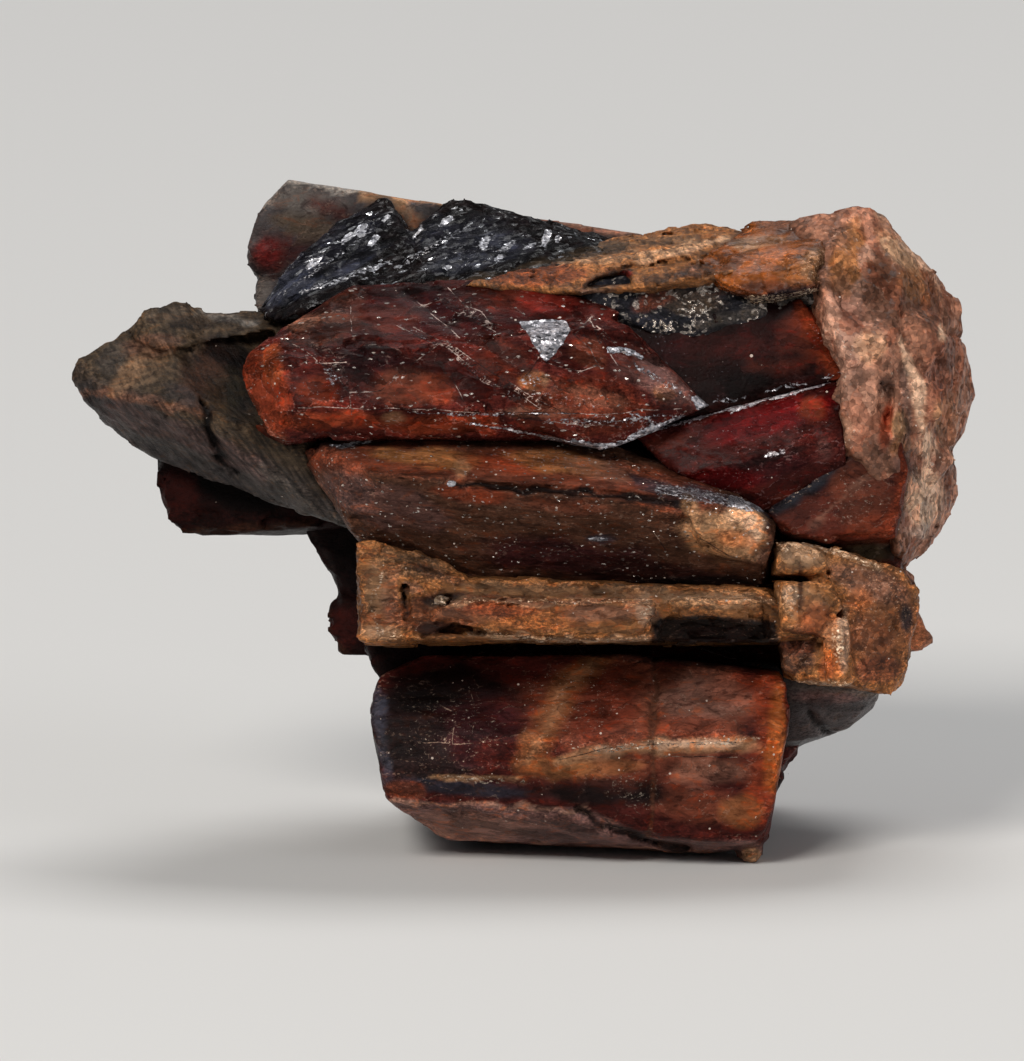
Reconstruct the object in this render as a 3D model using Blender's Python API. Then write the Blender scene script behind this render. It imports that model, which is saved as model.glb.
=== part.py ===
"""Rhodonite specimen: a bundle of blocky crystals grown together on a granular base, 45 mm wide.

The crystals lie side by side, all running left to right, and every one of them overlaps its
neighbours, so the specimen is one solid. Each crystal is laid out by its corners in the front
view: right of the middle, back from the front plane, and up, in millimetres. The bundle then
leans back a little and is cut flat underneath, where it rests.
"""

import math
import random

import bmesh
import bpy
from mathutils import Matrix, Vector

MM = 0.001

# How the bundle stands
LEAN_BACK_DEG = 10.0
FOOT_HEIGHT = 0.88  # the front plane's zero line above the cut, after leaning
MIDDLE_BACK = 11.44  # the middle of the specimen, back from the front plane
FOOT_CUTTER = 60.0  # side of the block that cuts the foot flat

# Corners of each crystal: (right, back, up)
CRYSTALS = {
    "left_prism": [
        (-22.4, 4.5, 25.0), (-22.75, 4.2, 24.3), (-22.3, 3.6, 23.3), (-20.9, 5.5, 25.7),
        (-19.2, 6.5, 27.0), (-15.9, 7.0, 27.5), (-8.0, 5.5, 27.6),
        (-21.0, 1.6, 23.3), (-17.4, -0.3, 22.7), (-15.8, -0.6, 22.4), (-11.0, -0.2, 20.3),
        (-21.1, 4.6, 21.8), (-19.6, 4.6, 20.9), (-18.4, 4.6, 20.0), (-12.7, 3.6, 18.3),
        (-8.6, 2.0, 16.4), (-21.2, 8.5, 24.0), (-18.5, 11.5, 26.0), (-18.0, 11.0, 21.0),
        (-6.0, 12.0, 26.5), (-6.0, 12.0, 18.0),
    ],
    "left_knob": [
        (-19.9, 5.2, 26.3), (-19.0, 5.4, 27.5), (-17.7, 6.0, 28.0), (-16.9, 6.2, 28.0),
        (-16.0, 6.6, 27.5), (-18.6, 3.2, 25.6), (-16.4, 3.8, 25.8), (-15.2, 6.0, 26.6),
        (-18.6, 9.5, 27.0), (-16.2, 9.5, 27.0), (-17.5, 7.0, 24.0),
    ],
    "lower_left_block": [
        (-18.5, 6.0, 20.2), (-18.5, 6.2, 19.4), (-18.2, 6.0, 18.0), (-17.9, 6.0, 17.0),
        (-17.25, 6.2, 16.35), (-16.3, 6.4, 16.2), (-14.9, 6.4, 16.25), (-11.2, 6.0, 16.9),
        (-8.5, 5.0, 16.7), (-8.5, 5.0, 20.0), (-17.2, 6.0, 21.2), (-17.6, 13.0, 20.4),
        (-16.9, 12.6, 17.0), (-8.0, 13.5, 16.4), (-8.0, 14.0, 21.0),
    ],
    "rear_slab": [
        (-11.8, 9.4, 34.15), (-12.9, 9.2, 33.1), (-13.55, 9.2, 32.2), (-13.9, 9.2, 30.5),
        (-13.95, 9.3, 29.8), (-13.5, 9.4, 29.4), (-11.0, 9.0, 26.5), (6.3, 9.2, 31.4),
        (6.3, 9.0, 25.0), (-12.0, 17.2, 33.4), (-13.2, 17.0, 31.0), (-13.0, 16.4, 29.0),
        (5.4, 16.6, 30.8), (5.6, 17.0, 25.0), (-8.0, 17.0, 26.0),
    ],
    "rear_slab_step": [
        (-13.5, 9.0, 29.3), (-13.65, 8.4, 28.4), (-13.6, 7.8, 27.8), (-13.3, 7.4, 27.4),
        (-8.0, 7.0, 27.0), (-8.0, 8.5, 29.8), (-13.0, 15.0, 29.2), (-12.6, 14.6, 26.6),
        (-7.0, 15.0, 26.6), (-7.0, 15.0, 29.5),
    ],
    "black_crystal_left": [
        (-13.4, 4.6, 27.5), (-12.3, 5.0, 29.0), (-11.0, 5.6, 30.6), (-9.0, 7.2, 32.2),
        (-6.95, 8.2, 33.35), (-5.9, 7.2, 32.0), (-5.2, 6.2, 30.9), (-4.6, 2.0, 28.6),
        (-8.4, 1.9, 28.2), (-11.0, 2.4, 27.6), (-12.4, 3.2, 26.9), (-7.2, 12.0, 32.2),
        (-12.0, 12.0, 27.5), (-5.0, 12.0, 28.0), (-5.6, 11.0, 31.0),
    ],
    "black_crystal_right": [
        (-6.3, 5.4, 30.3), (-4.9, 6.8, 32.0), (-3.6, 8.0, 33.2), (-2.9, 8.2, 33.1),
        (-0.8, 8.5, 32.4), (1.9, 8.4, 31.8), (3.9, 8.0, 31.2), (5.9, 7.4, 30.6),
        (-6.0, 1.7, 28.5), (-2.1, 1.2, 28.7), (2.0, 1.4, 29.2), (6.0, 3.0, 29.9),
        (-4.0, 13.0, 32.4), (5.0, 13.0, 30.6), (-6.0, 13.0, 27.0), (6.0, 13.0, 27.0),
    ],
    "upper_lath": [
        (-3.0, 1.0, 28.8), (2.0, 0.3, 28.4), (6.0, -0.1, 28.6), (10.0, 0.0, 29.4),
        (1.5, 3.0, 29.8), (4.6, 6.6, 31.2), (7.2, 6.6, 31.6), (9.2, 6.5, 31.9),
        (10.8, 6.3, 31.5), (12.6, 5.0, 31.0), (12.6, 0.8, 29.6), (5.0, 13.0, 30.6),
        (12.0, 14.0, 30.6), (0.0, 10.0, 27.0), (13.0, 12.0, 26.5),
    ],
    "upper_lath_ridge": [
        (-1.6, 1.6, 29.2), (3.2, 1.6, 29.9), (7.4, 2.4, 30.8), (10.6, 3.0, 31.0),
        (10.4, 2.2, 30.4), (6.4, 1.2, 29.9), (1.8, 0.6, 29.0), (-1.0, 4.0, 29.0),
        (5.0, 5.0, 30.0), (10.8, 5.0, 30.2),
    ],
    "amber_block": [
        (8.8, 1.0, 30.0), (9.8, -0.2, 28.9), (11.8, -0.7, 28.2), (14.6, -0.2, 28.7),
        (14.8, 0.6, 30.2), (10.9, 4.4, 31.5), (11.7, 5.0, 32.1), (12.2, 5.2, 32.2),
        (12.9, 5.2, 32.15), (14.0, 4.8, 31.9), (16.0, 4.0, 31.8), (12.0, 12.0, 31.4),
        (16.0, 12.0, 30.4), (10.0, 8.0, 27.0), (16.0, 8.0, 27.0),
    ],
    "black_hollow_wall": [
        (2.5, 0.9, 28.7), (3.8, 0.6, 27.4), (6.8, 1.0, 26.3), (8.9, 1.0, 26.2),
        (12.8, 1.3, 27.7), (14.9, 1.4, 28.0), (15.2, 1.8, 29.2), (8.5, 1.6, 29.6),
        (3.0, 7.0, 26.0), (15.0, 7.0, 26.0), (15.0, 7.0, 30.0), (3.5, 6.0, 29.8),
    ],
    "red_crystal_crown": [
        (-12.9, 0.4, 26.1), (-10.7, 1.2, 27.4), (-9.6, 1.6, 28.1), (-8.2, 1.9, 28.8),
        (-4.3, 1.7, 29.0), (-0.2, 1.4, 29.0), (2.2, 1.0, 28.6), (-12.6, -0.8, 25.7),
        (-4.0, -1.3, 25.9), (2.6, -0.8, 26.2), (4.8, 0.2, 27.4), (-10.0, 8.0, 27.4),
        (4.0, 8.0, 27.4), (-11.0, 8.0, 23.0), (4.0, 8.0, 23.0),
    ],
    "red_crystal": [
        (-14.1, -0.2, 24.2), (-13.75, -0.1, 25.3), (-13.1, 0.2, 26.0), (-12.0, -0.6, 26.1),
        (-12.4, -1.9, 24.9), (-11.3, -2.7, 22.7), (-13.4, -0.7, 22.6), (-12.7, -0.9, 21.2),
        (-10.8, -1.7, 21.0), (-7.1, -1.9, 21.2), (-2.5, -2.2, 21.6), (-3.0, -2.9, 22.6),
        (-4.0, -1.7, 25.8), (0.2, -1.6, 26.0), (1.5, -2.4, 22.4), (1.0, -2.0, 21.2),
        (-9.0, 8.0, 26.0), (2.0, 8.0, 26.0), (-9.0, 8.0, 20.0), (2.0, 8.0, 20.0),
        (-12.6, 4.0, 25.4), (-12.0, 4.0, 21.0),
    ],
    "red_crystal_heel": [
        (-13.4, -0.2, 21.8), (-13.2, -0.2, 20.8), (-12.1, -0.5, 20.45), (-10.6, -0.8, 20.8),
        (-9.8, -0.8, 21.6), (-13.0, 5.0, 21.6), (-12.6, 5.0, 20.2), (-8.0, 5.0, 20.4),
        (-8.0, 5.0, 22.0),
    ],
    "red_crystal_front": [
        (-4.5, -2.1, 24.4), (-2.6, -2.4, 22.0), (-0.2, -2.4, 21.5), (2.6, -2.1, 20.9),
        (3.8, -1.9, 20.5), (4.9, -1.7, 20.7), (6.6, -1.3, 21.6), (9.3, -0.3, 22.7),
        (8.2, -0.6, 23.6), (6.2, -0.5, 25.3), (5.3, -0.2, 26.7), (3.6, 0.0, 27.3),
        (-2.0, -1.8, 26.1), (0.6, -1.7, 26.3), (2.4, -3.0, 22.9), (-3.6, 6.0, 24.0),
        (8.0, 6.0, 24.0), (3.0, 6.0, 20.5), (3.0, 6.0, 27.5),
    ],
    "dark_red_crystal": [
        (3.0, 1.4, 27.2), (6.8, 1.3, 26.6), (13.9, 1.3, 28.1), (14.7, 1.2, 27.1),
        (15.0, 0.9, 26.3), (16.0, 0.6, 24.1), (9.7, 0.3, 22.4), (5.0, 0.3, 21.6),
        (3.0, 9.0, 28.0), (15.0, 9.0, 28.4), (16.0, 9.0, 22.0), (3.0, 9.0, 21.0),
    ],
    "crimson_crystal": [
        (5.6, 0.3, 21.2), (9.8, 0.2, 22.5), (15.9, 0.3, 24.0), (15.7, -0.2, 23.0),
        (15.9, -0.7, 21.4), (16.1, -0.5, 20.5), (12.6, -0.9, 20.2), (11.0, -1.0, 19.8),
        (7.6, -0.4, 19.2), (11.1, 0.0, 18.0), (12.2, 0.2, 17.4), (16.2, 0.4, 19.0),
        (6.0, 8.0, 22.0), (16.0, 8.0, 24.0), (16.0, 8.0, 17.5), (8.0, 8.0, 18.0),
    ],
    "lower_right_block": [
        (12.2, -0.1, 17.5), (13.0, -0.3, 16.4), (15.4, -0.5, 15.9), (18.6, -0.1, 16.2),
        (18.9, -0.1, 18.5), (19.3, 0.2, 19.6), (18.9, 0.4, 21.0), (17.0, 0.2, 20.7),
        (15.4, 0.0, 20.0), (12.0, 8.0, 18.0), (13.0, 8.0, 15.0), (19.0, 8.0, 15.5),
        (19.0, 8.0, 21.5),
    ],
    "olive_step": [
        (15.0, 1.6, 16.4), (15.8, 1.8, 15.2), (17.4, 2.0, 14.5), (18.9, 2.2, 14.6),
        (18.9, 1.8, 16.4), (15.0, 9.0, 16.0), (16.0, 9.0, 13.0), (19.4, 9.0, 13.5),
        (19.0, 9.0, 16.6),
    ],
    "middle_lath": [
        (-11.2, 0.4, 20.4), (-10.0, -0.6, 20.9), (-9.2, -2.2, 19.9), (-7.2, -3.2, 19.3),
        (-3.2, -3.7, 18.9), (0.9, -3.9, 18.5), (5.9, -3.8, 18.1), (8.4, -3.4, 18.0),
        (11.4, -2.2, 16.9), (12.5, -1.8, 16.3), (-2.5, 0.6, 21.6), (4.0, 0.6, 20.8),
        (8.0, 0.4, 19.4), (11.0, 0.3, 18.4), (12.6, 0.2, 17.0), (-8.6, -0.4, 16.4),
        (-6.0, 0.1, 15.5), (-2.6, 0.5, 14.1), (3.9, 0.6, 13.5), (11.9, 0.6, 13.5),
        (12.3, -1.3, 15.0), (-9.0, 9.0, 21.0), (12.0, 9.0, 19.5), (12.0, 9.0, 12.0),
        (-6.0, 9.0, 13.0),
    ],
    "middle_lath_broken_end": [
        (8.0, -3.7, 17.5), (8.9, -3.8, 18.0), (11.0, -3.0, 17.8), (12.2, -2.6, 17.0),
        (12.5, -2.3, 15.9), (12.1, -2.1, 14.7), (10.6, -2.7, 15.1), (8.8, -3.3, 16.0),
        (8.6, 0.0, 17.0), (12.2, 0.0, 16.6), (12.0, 0.0, 14.8), (9.0, 0.0, 15.0),
    ],
    "ledge_left_block": [
        (-8.2, -1.5, 15.7), (-7.4, -1.5, 15.9), (-5.5, -1.3, 15.4), (-2.6, -0.9, 14.1),
        (-8.1, -2.1, 11.1), (-7.7, -2.2, 10.9), (-5.9, -2.2, 11.0), (-5.9, -2.0, 14.0),
        (-8.0, 8.0, 15.6), (-8.0, 8.0, 11.0), (-3.0, 8.0, 14.0), (-5.0, 8.0, 10.6),
    ],
    "ledge_shelf": [
        (-6.4, -1.2, 14.1), (-2.6, -1.4, 14.0), (-1.0, -1.3, 13.7), (6.8, -1.2, 13.5),
        (11.9, -1.1, 13.5), (-6.4, -1.9, 11.1), (6.2, -1.9, 11.1), (6.9, -1.6, 12.0),
        (12.2, -1.5, 11.6), (14.6, -1.1, 11.1), (-6.4, 8.0, 14.0), (14.0, 8.0, 14.0),
        (-6.4, 8.0, 10.8), (14.0, 8.0, 10.8),
    ],
    "ledge_splinter": [
        (-4.7, -2.2, 12.4), (-3.6, -2.6, 12.9), (-2.4, -2.9, 13.1), (1.0, -2.7, 12.8),
        (6.5, -3.0, 13.1), (6.6, -2.9, 12.2), (6.2, -2.9, 11.1), (2.0, -3.0, 11.1),
        (-0.3, -2.7, 11.7), (-2.6, -2.5, 12.0), (-4.6, -2.1, 11.9), (-4.0, -0.5, 12.4),
        (6.2, -0.5, 12.6), (6.0, -0.5, 11.3),
    ],
    "ledge_right_splinter": [
        (7.2, -2.0, 12.9), (8.6, -2.3, 13.1), (11.9, -1.9, 13.0), (12.1, -1.9, 11.7),
        (9.4, -2.3, 12.0), (7.6, -2.1, 12.2), (7.4, -0.5, 12.8), (12.0, -0.5, 12.4),
    ],
    "tan_block": [
        (12.6, -1.6, 15.9), (13.9, -1.4, 15.7), (15.2, -1.1, 15.4), (15.2, -1.4, 14.2),
        (12.6, -1.9, 14.3), (12.4, 6.0, 16.0), (16.0, 6.0, 15.6), (16.0, 6.0, 13.6),
        (12.4, 6.0, 13.6),
    ],
    "facet_block": [
        (12.6, -1.7, 14.1), (13.4, -2.4, 13.9), (15.2, -1.9, 14.1), (16.0, -1.5, 12.6),
        (15.0, -1.8, 11.2), (12.9, -2.3, 11.6), (12.5, 5.0, 14.2), (16.0, 5.0, 14.0),
        (15.4, 5.0, 10.8), (12.6, 5.0, 11.2),
    ],
    "bright_block": [
        (15.0, -1.6, 12.0), (15.6, -2.1, 12.3), (16.3, -1.6, 12.1), (16.6, -1.4, 8.85),
        (15.9, -2.0, 8.7), (15.2, -1.5, 8.8), (14.8, 5.0, 12.0), (16.6, 5.0, 12.0),
        (16.6, 5.0, 8.8), (15.0, 5.0, 8.8),
    ],
    "step_block": [
        (15.0, -0.8, 15.4), (15.8, -0.7, 15.6), (16.8, -0.6, 15.2), (17.5, -0.4, 14.6),
        (18.8, 0.1, 14.6), (19.2, 0.4, 14.2), (19.8, 0.9, 13.4), (19.85, 0.9, 12.6),
        (19.4, 0.6, 11.0), (19.1, 0.7, 10.2), (19.0, 0.9, 8.9), (18.3, 0.9, 8.3),
        (16.5, -0.9, 8.8), (16.0, -1.1, 12.0), (14.0, 9.0, 15.0), (19.4, 9.0, 13.6),
        (18.9, 9.0, 8.6), (14.0, 9.0, 9.0),
    ],
    "dark_recess_wall": [
        (12.9, 0.2, 11.2), (13.1, 0.0, 9.5), (14.2, -0.5, 8.9), (16.6, -0.7, 8.75),
        (16.4, -0.4, 11.4), (12.8, 8.0, 11.2), (13.1, 8.0, 9.0), (17.0, 8.0, 8.6),
    ],
    "right_shard": [
        (19.0, 6.8, 14.2), (20.0, 7.4, 12.2), (20.7, 7.8, 10.9), (20.5, 7.9, 10.5),
        (19.2, 7.6, 10.3), (17.8, 7.0, 10.2), (17.8, 7.0, 15.0), (18.6, 11.0, 14.2),
        (19.6, 11.0, 11.0), (17.6, 11.0, 10.6),
    ],
    "grey_rear_crystal": [
        (12.4, 5.0, 9.8), (17.9, 4.6, 8.7), (18.0, 8.2, 9.2), (17.85, 8.6, 8.1),
        (17.75, 8.6, 7.6), (17.1, 8.6, 7.2), (16.4, 8.4, 6.5), (15.3, 8.2, 6.5),
        (13.9, 8.0, 5.85), (2.0, 7.0, 5.5), (2.0, 15.0, 4.8), (2.0, 16.0, 10.0),
        (17.6, 15.0, 9.6), (15.8, 14.4, 6.4), (13.6, 14.6, 5.4),
    ],
    "lower_block": [
        (-7.15, 3.6, 9.2), (-7.7, 3.2, 7.9), (-7.65, 2.0, 7.2), (-7.4, 1.2, 5.9),
        (-7.1, 1.4, 4.0), (-6.9, 2.0, 3.0), (-6.0, 3.6, 2.65), (-5.2, 4.4, 2.0),
        (-3.9, 5.5, 0.95), (13.1, 0.3, 6.2), (13.4, 1.1, 7.5), (13.1, 2.0, 9.0),
        (12.9, 3.0, 9.4), (5.0, 3.6, 10.3), (-5.0, 4.2, 10.2), (1.8, 0.1, 5.9),
        (12.9, 0.7, 4.6), (12.6, 1.2, 3.0), (-4.6, 1.8, 2.85), (0.9, 1.5, 2.7),
        (3.9, 1.6, 2.2), (6.4, 1.8, 1.5), (7.9, 1.9, 1.0), (11.9, 2.0, 0.9),
        (5.6, 5.0, 0.5), (8.8, 4.7, 0.25), (11.9, 4.0, 0.6), (12.3, 4.6, 1.0),
        (-6.4, 15.0, 9.4), (-6.8, 14.4, 4.0), (-3.0, 16.6, 1.2), (12.0, 16.6, 1.2),
        (12.9, 15.4, 5.0), (12.4, 15.0, 9.6),
    ],
    "foot_lump": [
        (10.9, 3.9, 0.3), (11.2, 3.6, -0.05), (11.6, 3.6, -0.15), (11.95, 3.9, 0.6),
        (10.6, 5.5, -0.3), (12.0, 5.5, -0.3), (11.0, 6.0, 1.4), (12.0, 6.0, 1.4),
    ],
    "rear_splinter_upper": [
        (-11.1, 8.0, 17.2), (-10.9, 8.0, 16.4), (-10.3, 8.0, 15.4), (-9.8, 8.0, 14.9),
        (-9.25, 8.2, 13.8), (-9.15, 8.3, 13.2), (-5.0, 7.0, 12.4), (-5.0, 6.5, 17.2),
        (-10.4, 13.6, 17.0), (-9.0, 14.2, 13.6), (-5.0, 14.0, 12.4), (-5.0, 14.0, 17.6),
    ],
    "rear_splinter_lower": [
        (-9.2, 8.8, 13.4), (-9.75, 9.0, 12.85), (-9.9, 9.1, 12.4), (-9.85, 9.1, 11.8),
        (-9.6, 9.1, 10.95), (-9.25, 9.1, 10.25), (-8.95, 9.1, 10.2), (-7.9, 8.6, 10.5),
        (-5.0, 8.0, 10.2), (-5.0, 8.0, 13.6), (-9.0, 14.6, 12.8), (-8.6, 14.6, 10.6),
        (-5.0, 15.0, 10.4), (-5.0, 15.0, 13.6),
    ],
    "rear_neck": [
        (-8.0, 6.2, 10.7), (-7.5, 6.2, 9.6), (-7.15, 6.0, 9.0), (-4.0, 5.4, 9.0),
        (-4.0, 5.4, 12.0), (-7.8, 13.0, 10.8), (-6.8, 13.0, 8.6), (-4.0, 13.0, 9.0),
        (-4.0, 13.0, 12.0),
    ],
    "back_prism": [
        (-10.2, 12.0, 25.4), (-11.6, 14.4, 22.4), (-10.4, 16.8, 19.4), (-8.6, 13.0, 15.8),
        (-8.0, 18.0, 16.4), (-7.6, 20.4, 20.6), (-8.4, 18.6, 25.6), (-6.0, 12.0, 27.6),
        (17.0, 11.0, 27.0), (17.0, 18.2, 26.0), (17.0, 20.6, 20.8), (17.0, 18.2, 15.6),
        (17.0, 11.0, 14.0),
    ],
    "back_foot_prism": [
        (-5.6, 11.0, 10.6), (-6.4, 13.6, 6.4), (-3.6, 12.0, 1.2), (-2.8, 19.0, 1.8),
        (-5.2, 20.2, 6.6), (-4.4, 17.6, 11.4), (-2.0, 12.0, 13.4), (-2.6, 18.6, 13.6),
        (15.4, 11.0, 12.6), (14.8, 18.6, 12.0), (12.6, 20.0, 6.6), (11.6, 18.8, 1.8),
        (11.8, 12.0, 1.0), (12.8, 12.0, 6.0), (15.0, 12.0, 8.4),
    ],
    "back_lath": [
        (-6.4, 15.6, 16.6), (-7.2, 18.4, 15.0), (-6.2, 17.8, 12.4), (-5.0, 14.0, 11.8),
        (12.6, 15.0, 17.0), (13.4, 19.4, 15.6), (12.8, 18.6, 12.2), (12.4, 14.0, 11.0),
    ],
    "base_upper": [
        (13.4, 3.8, 31.9), (15.4, 3.4, 32.4), (16.8, 3.8, 32.9), (18.0, 4.6, 32.3),
        (19.2, 5.6, 31.0), (20.6, 6.6, 29.6), (21.9, 7.8, 28.0), (22.2, 8.6, 26.4),
        (14.9, 0.4, 28.8), (15.4, -0.3, 26.6), (16.4, -0.8, 24.6), (18.2, 0.4, 25.4),
        (19.0, 2.6, 29.4), (14.6, 14.0, 31.4), (17.4, 15.6, 31.0), (20.6, 15.8, 27.4),
        (21.2, 14.0, 24.0), (15.0, 16.0, 24.0), (14.0, 6.0, 24.0),
    ],
    "base_middle": [
        (15.9, -0.5, 24.6), (16.0, -0.9, 22.4), (16.4, -0.4, 20.4), (18.6, 0.0, 20.9),
        (19.2, 0.4, 19.6), (18.9, 0.2, 17.6), (18.2, 0.2, 25.0), (20.6, 4.0, 26.6),
        (22.2, 8.2, 26.0), (22.6, 9.0, 24.6), (22.75, 9.6, 23.2), (22.3, 9.4, 21.5),
        (21.8, 8.6, 20.7), (20.2, 3.6, 19.4), (21.6, 15.4, 24.0), (20.8, 16.4, 20.4),
        (16.0, 18.4, 25.0), (15.6, 18.6, 18.6), (15.0, 8.0, 17.0), (17.8, 16.0, 15.8),
    ],
    "base_lower": [
        (18.7, 0.6, 18.4), (18.8, 1.4, 15.4), (19.2, 3.8, 14.6), (19.6, 6.0, 15.9),
        (20.8, 7.6, 16.1), (21.4, 8.2, 17.0), (21.9, 8.4, 18.2), (21.8, 8.6, 20.6),
        (19.6, 2.6, 20.4), (20.8, 14.6, 19.8), (20.0, 15.0, 16.6), (18.0, 17.2, 14.4),
        (15.0, 17.6, 14.0), (15.0, 17.6, 20.0), (16.0, 6.0, 14.0), (16.0, 4.0, 20.0),
    ],
}

# What is broken out of a crystal: the crystal's name and the corners of the gap
BROKEN_OUT = {
    "recess_beside_red_crystal": (
        "left_prism",
        [
            (-17.8, 3.9, 25.6), (-16.1, -0.3, 22.7), (-12.4, 6.6, 26.6), (-12.4, 2.6, 21.4),
            (-17.8, -4.0, 25.6), (-16.1, -4.0, 22.7), (-12.4, -4.0, 26.6), (-12.4, -4.0, 21.4),
        ],
    ),
    "cavity_in_upper_lath": (
        "upper_lath",
        [
            (2.6, -2.0, 28.3), (5.9, -2.0, 28.4), (5.8, -2.0, 29.8), (3.4, -2.0, 29.6),
            (3.3, 1.7, 28.8), (5.3, 1.7, 28.9), (5.1, 1.7, 29.5),
        ],
    ),
    "hole_in_ledge": (
        "ledge_shelf",
        [
            (-5.0, -3.2, 12.7), (-3.4, -3.2, 12.8), (-3.4, -3.2, 13.5), (-4.9, -3.2, 13.4),
            (-4.7, -0.2, 12.9), (-3.7, -0.2, 12.9), (-3.7, -0.2, 13.3), (-4.7, -0.2, 13.2),
        ],
    ),
    "slot_in_ledge": (
        "ledge_shelf",
        [
            (-6.2, -3.0, 11.3), (-5.75, -3.0, 11.3), (-5.75, -3.0, 14.3), (-6.15, -3.0, 14.3),
            (-6.05, -0.6, 11.6), (-5.9, -0.6, 11.6), (-5.9, -0.6, 14.2), (-6.05, -0.6, 14.2),
        ],
    ),
    "gap_beside_tan_block": (
        "middle_lath",
        [
            (12.1, -4.0, 15.7), (13.2, -4.0, 15.7), (13.2, -4.0, 13.2), (12.15, -4.0, 13.2),
            (12.2, 0.4, 15.6), (13.2, 0.4, 15.6), (13.2, 0.4, 13.3), (12.2, 0.4, 13.3),
        ],
    ),
    "pit_in_base": (
        "base_middle",
        [
            (17.5, -3.0, 24.5), (18.8, -3.0, 24.3), (18.7, -3.0, 21.0), (17.7, -3.0, 20.9),
            (17.9, 2.0, 23.6), (18.5, 2.0, 23.4), (18.3, 2.0, 21.8),
        ],
    ),
    "hollow_in_base": (
        "base_upper",
        [
            (17.4, 0.0, 29.8), (20.6, 2.0, 29.0), (20.4, 2.0, 26.6), (18.0, 0.0, 25.8),
            (18.2, 4.4, 28.6), (19.8, 5.8, 28.0), (19.4, 5.6, 27.2), (18.4, 4.0, 26.8),
        ],
    ),
}

# Grains that stud the granular base: (right, back, up, radius)
GRAIN_RNG_SEED = 11
GRAIN_CORNERS = 18
GRAIN_ROUGHNESS = 0.16
GRAIN_SINK = 1.0
BASE_CORE_RIGHT = 16.0
BASE_CORE_BACK = 9.0
GRAINS = [
    (14.4, 2.9, 30.7, 1.5), (16.2, 3.0, 31.2, 1.6), (17.8, 4.2, 30.6, 1.5), (15.7, 1.4, 29.3, 1.7),
    (17.0, 1.6, 28.0, 1.9), (19.9, 5.6, 28.6, 1.9), (21.0, 7.4, 26.9, 1.5), (15.9, 0.6, 26.7, 1.6),
    (17.6, 0.7, 25.6, 1.8), (19.5, 3.0, 25.8, 2.2), (21.2, 7.2, 24.6, 1.9), (16.9, 0.2, 23.2, 1.7),
    (19.3, 1.8, 23.0, 2.2), (21.2, 7.0, 22.0, 2.0), (16.8, -0.1, 21.2, 1.5), (18.9, 1.2, 20.9, 1.7),
    (20.4, 4.6, 20.0, 2.0), (19.4, 2.2, 18.6, 1.5), (20.7, 7.0, 17.9, 1.7), (19.4, 3.4, 16.6, 1.5),
    (19.8, 12.0, 28.6, 2.1), (20.8, 12.4, 25.4, 1.9), (20.8, 12.8, 22.0, 1.9), (20.0, 13.0, 18.4, 1.8),
    (17.8, 14.4, 29.6, 2.0), (18.6, 15.8, 25.6, 2.0), (18.4, 16.6, 21.6, 2.1), (17.6, 16.2, 17.0, 1.9),
    (15.6, 16.2, 28.0, 1.9), (15.8, 17.8, 23.4, 1.8), (15.6, 18.0, 19.0, 1.8), (16.4, 12.6, 30.2, 1.7),
    (18.3, 0.6, 12.8, 1.4), (18.4, 1.0, 10.2, 1.2), (17.6, 0.2, 14.0, 1.2), (18.8, 4.2, 13.6, 1.5),
    (18.4, 8.0, 12.6, 1.7), (17.6, 10.4, 14.2, 1.8),
]


def leaned(corner):
    """A corner of the front view, leaned back about the front plane's zero line and stood on its foot."""
    right, back, up = corner
    lean = Matrix.Rotation(math.radians(-LEAN_BACK_DEG), 3, "X")
    return (lean @ Vector((right, back, up)) + Vector((0, -MIDDLE_BACK, FOOT_HEIGHT))) * MM


def convex_body(name, points):
    """The flat-faced convex body that has these points as its corners."""
    mesh = bpy.data.meshes.new(name)
    shape = bmesh.new()
    for point in points:
        shape.verts.new(point)
    hull = bmesh.ops.convex_hull(shape, input=shape.verts)
    unused = [v for v in shape.verts if not v.link_faces]
    bmesh.ops.delete(shape, geom=unused, context="VERTS")
    bmesh.ops.recalc_face_normals(shape, faces=shape.faces)
    shape.to_mesh(mesh)
    shape.free()
    body = bpy.data.objects.new(name, mesh)
    return body


def grain_corners(right, back, up, radius, rng):
    """Corners of one blocky grain, sunk towards the base's core: points spread over a ball."""
    inward = Vector((BASE_CORE_RIGHT - right, BASE_CORE_BACK - back)).normalized()
    right += inward.x * GRAIN_SINK
    back += inward.y * GRAIN_SINK
    golden_turn = math.pi * (3 - math.sqrt(5))
    first_turn = rng.uniform(0, math.tau)
    corners = []
    for i in range(GRAIN_CORNERS):
        height = 1 - 2 * (i + 0.5) / GRAIN_CORNERS
        ring = math.sqrt(1 - height * height)
        turn = first_turn + golden_turn * i
        reach = radius * (1 + rng.uniform(-GRAIN_ROUGHNESS, GRAIN_ROUGHNESS))
        corners.append(
            (
                right + reach * ring * math.cos(turn),
                back + reach * ring * math.sin(turn),
                up + reach * height,
            )
        )
    return corners


def clear_scene():
    for obj in list(bpy.data.objects):
        bpy.data.objects.remove(obj)


def cut(body, name, cutter):
    """Take a closed body out of another."""
    gap = body.modifiers.new(name, "BOOLEAN")
    gap.operation = "DIFFERENCE"
    gap.object = cutter
    gap.solver = "EXACT"


def helper_collection(name, bodies):
    """A collection of bodies that only shape the specimen, and aren't part of the model themselves."""
    collection = bpy.data.collections.new(name)
    bpy.context.scene.collection.children.link(collection)
    for body in bodies:
        collection.objects.link(body)
        body.hide_render = True
        body.display_type = "WIRE"
    return collection


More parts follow.
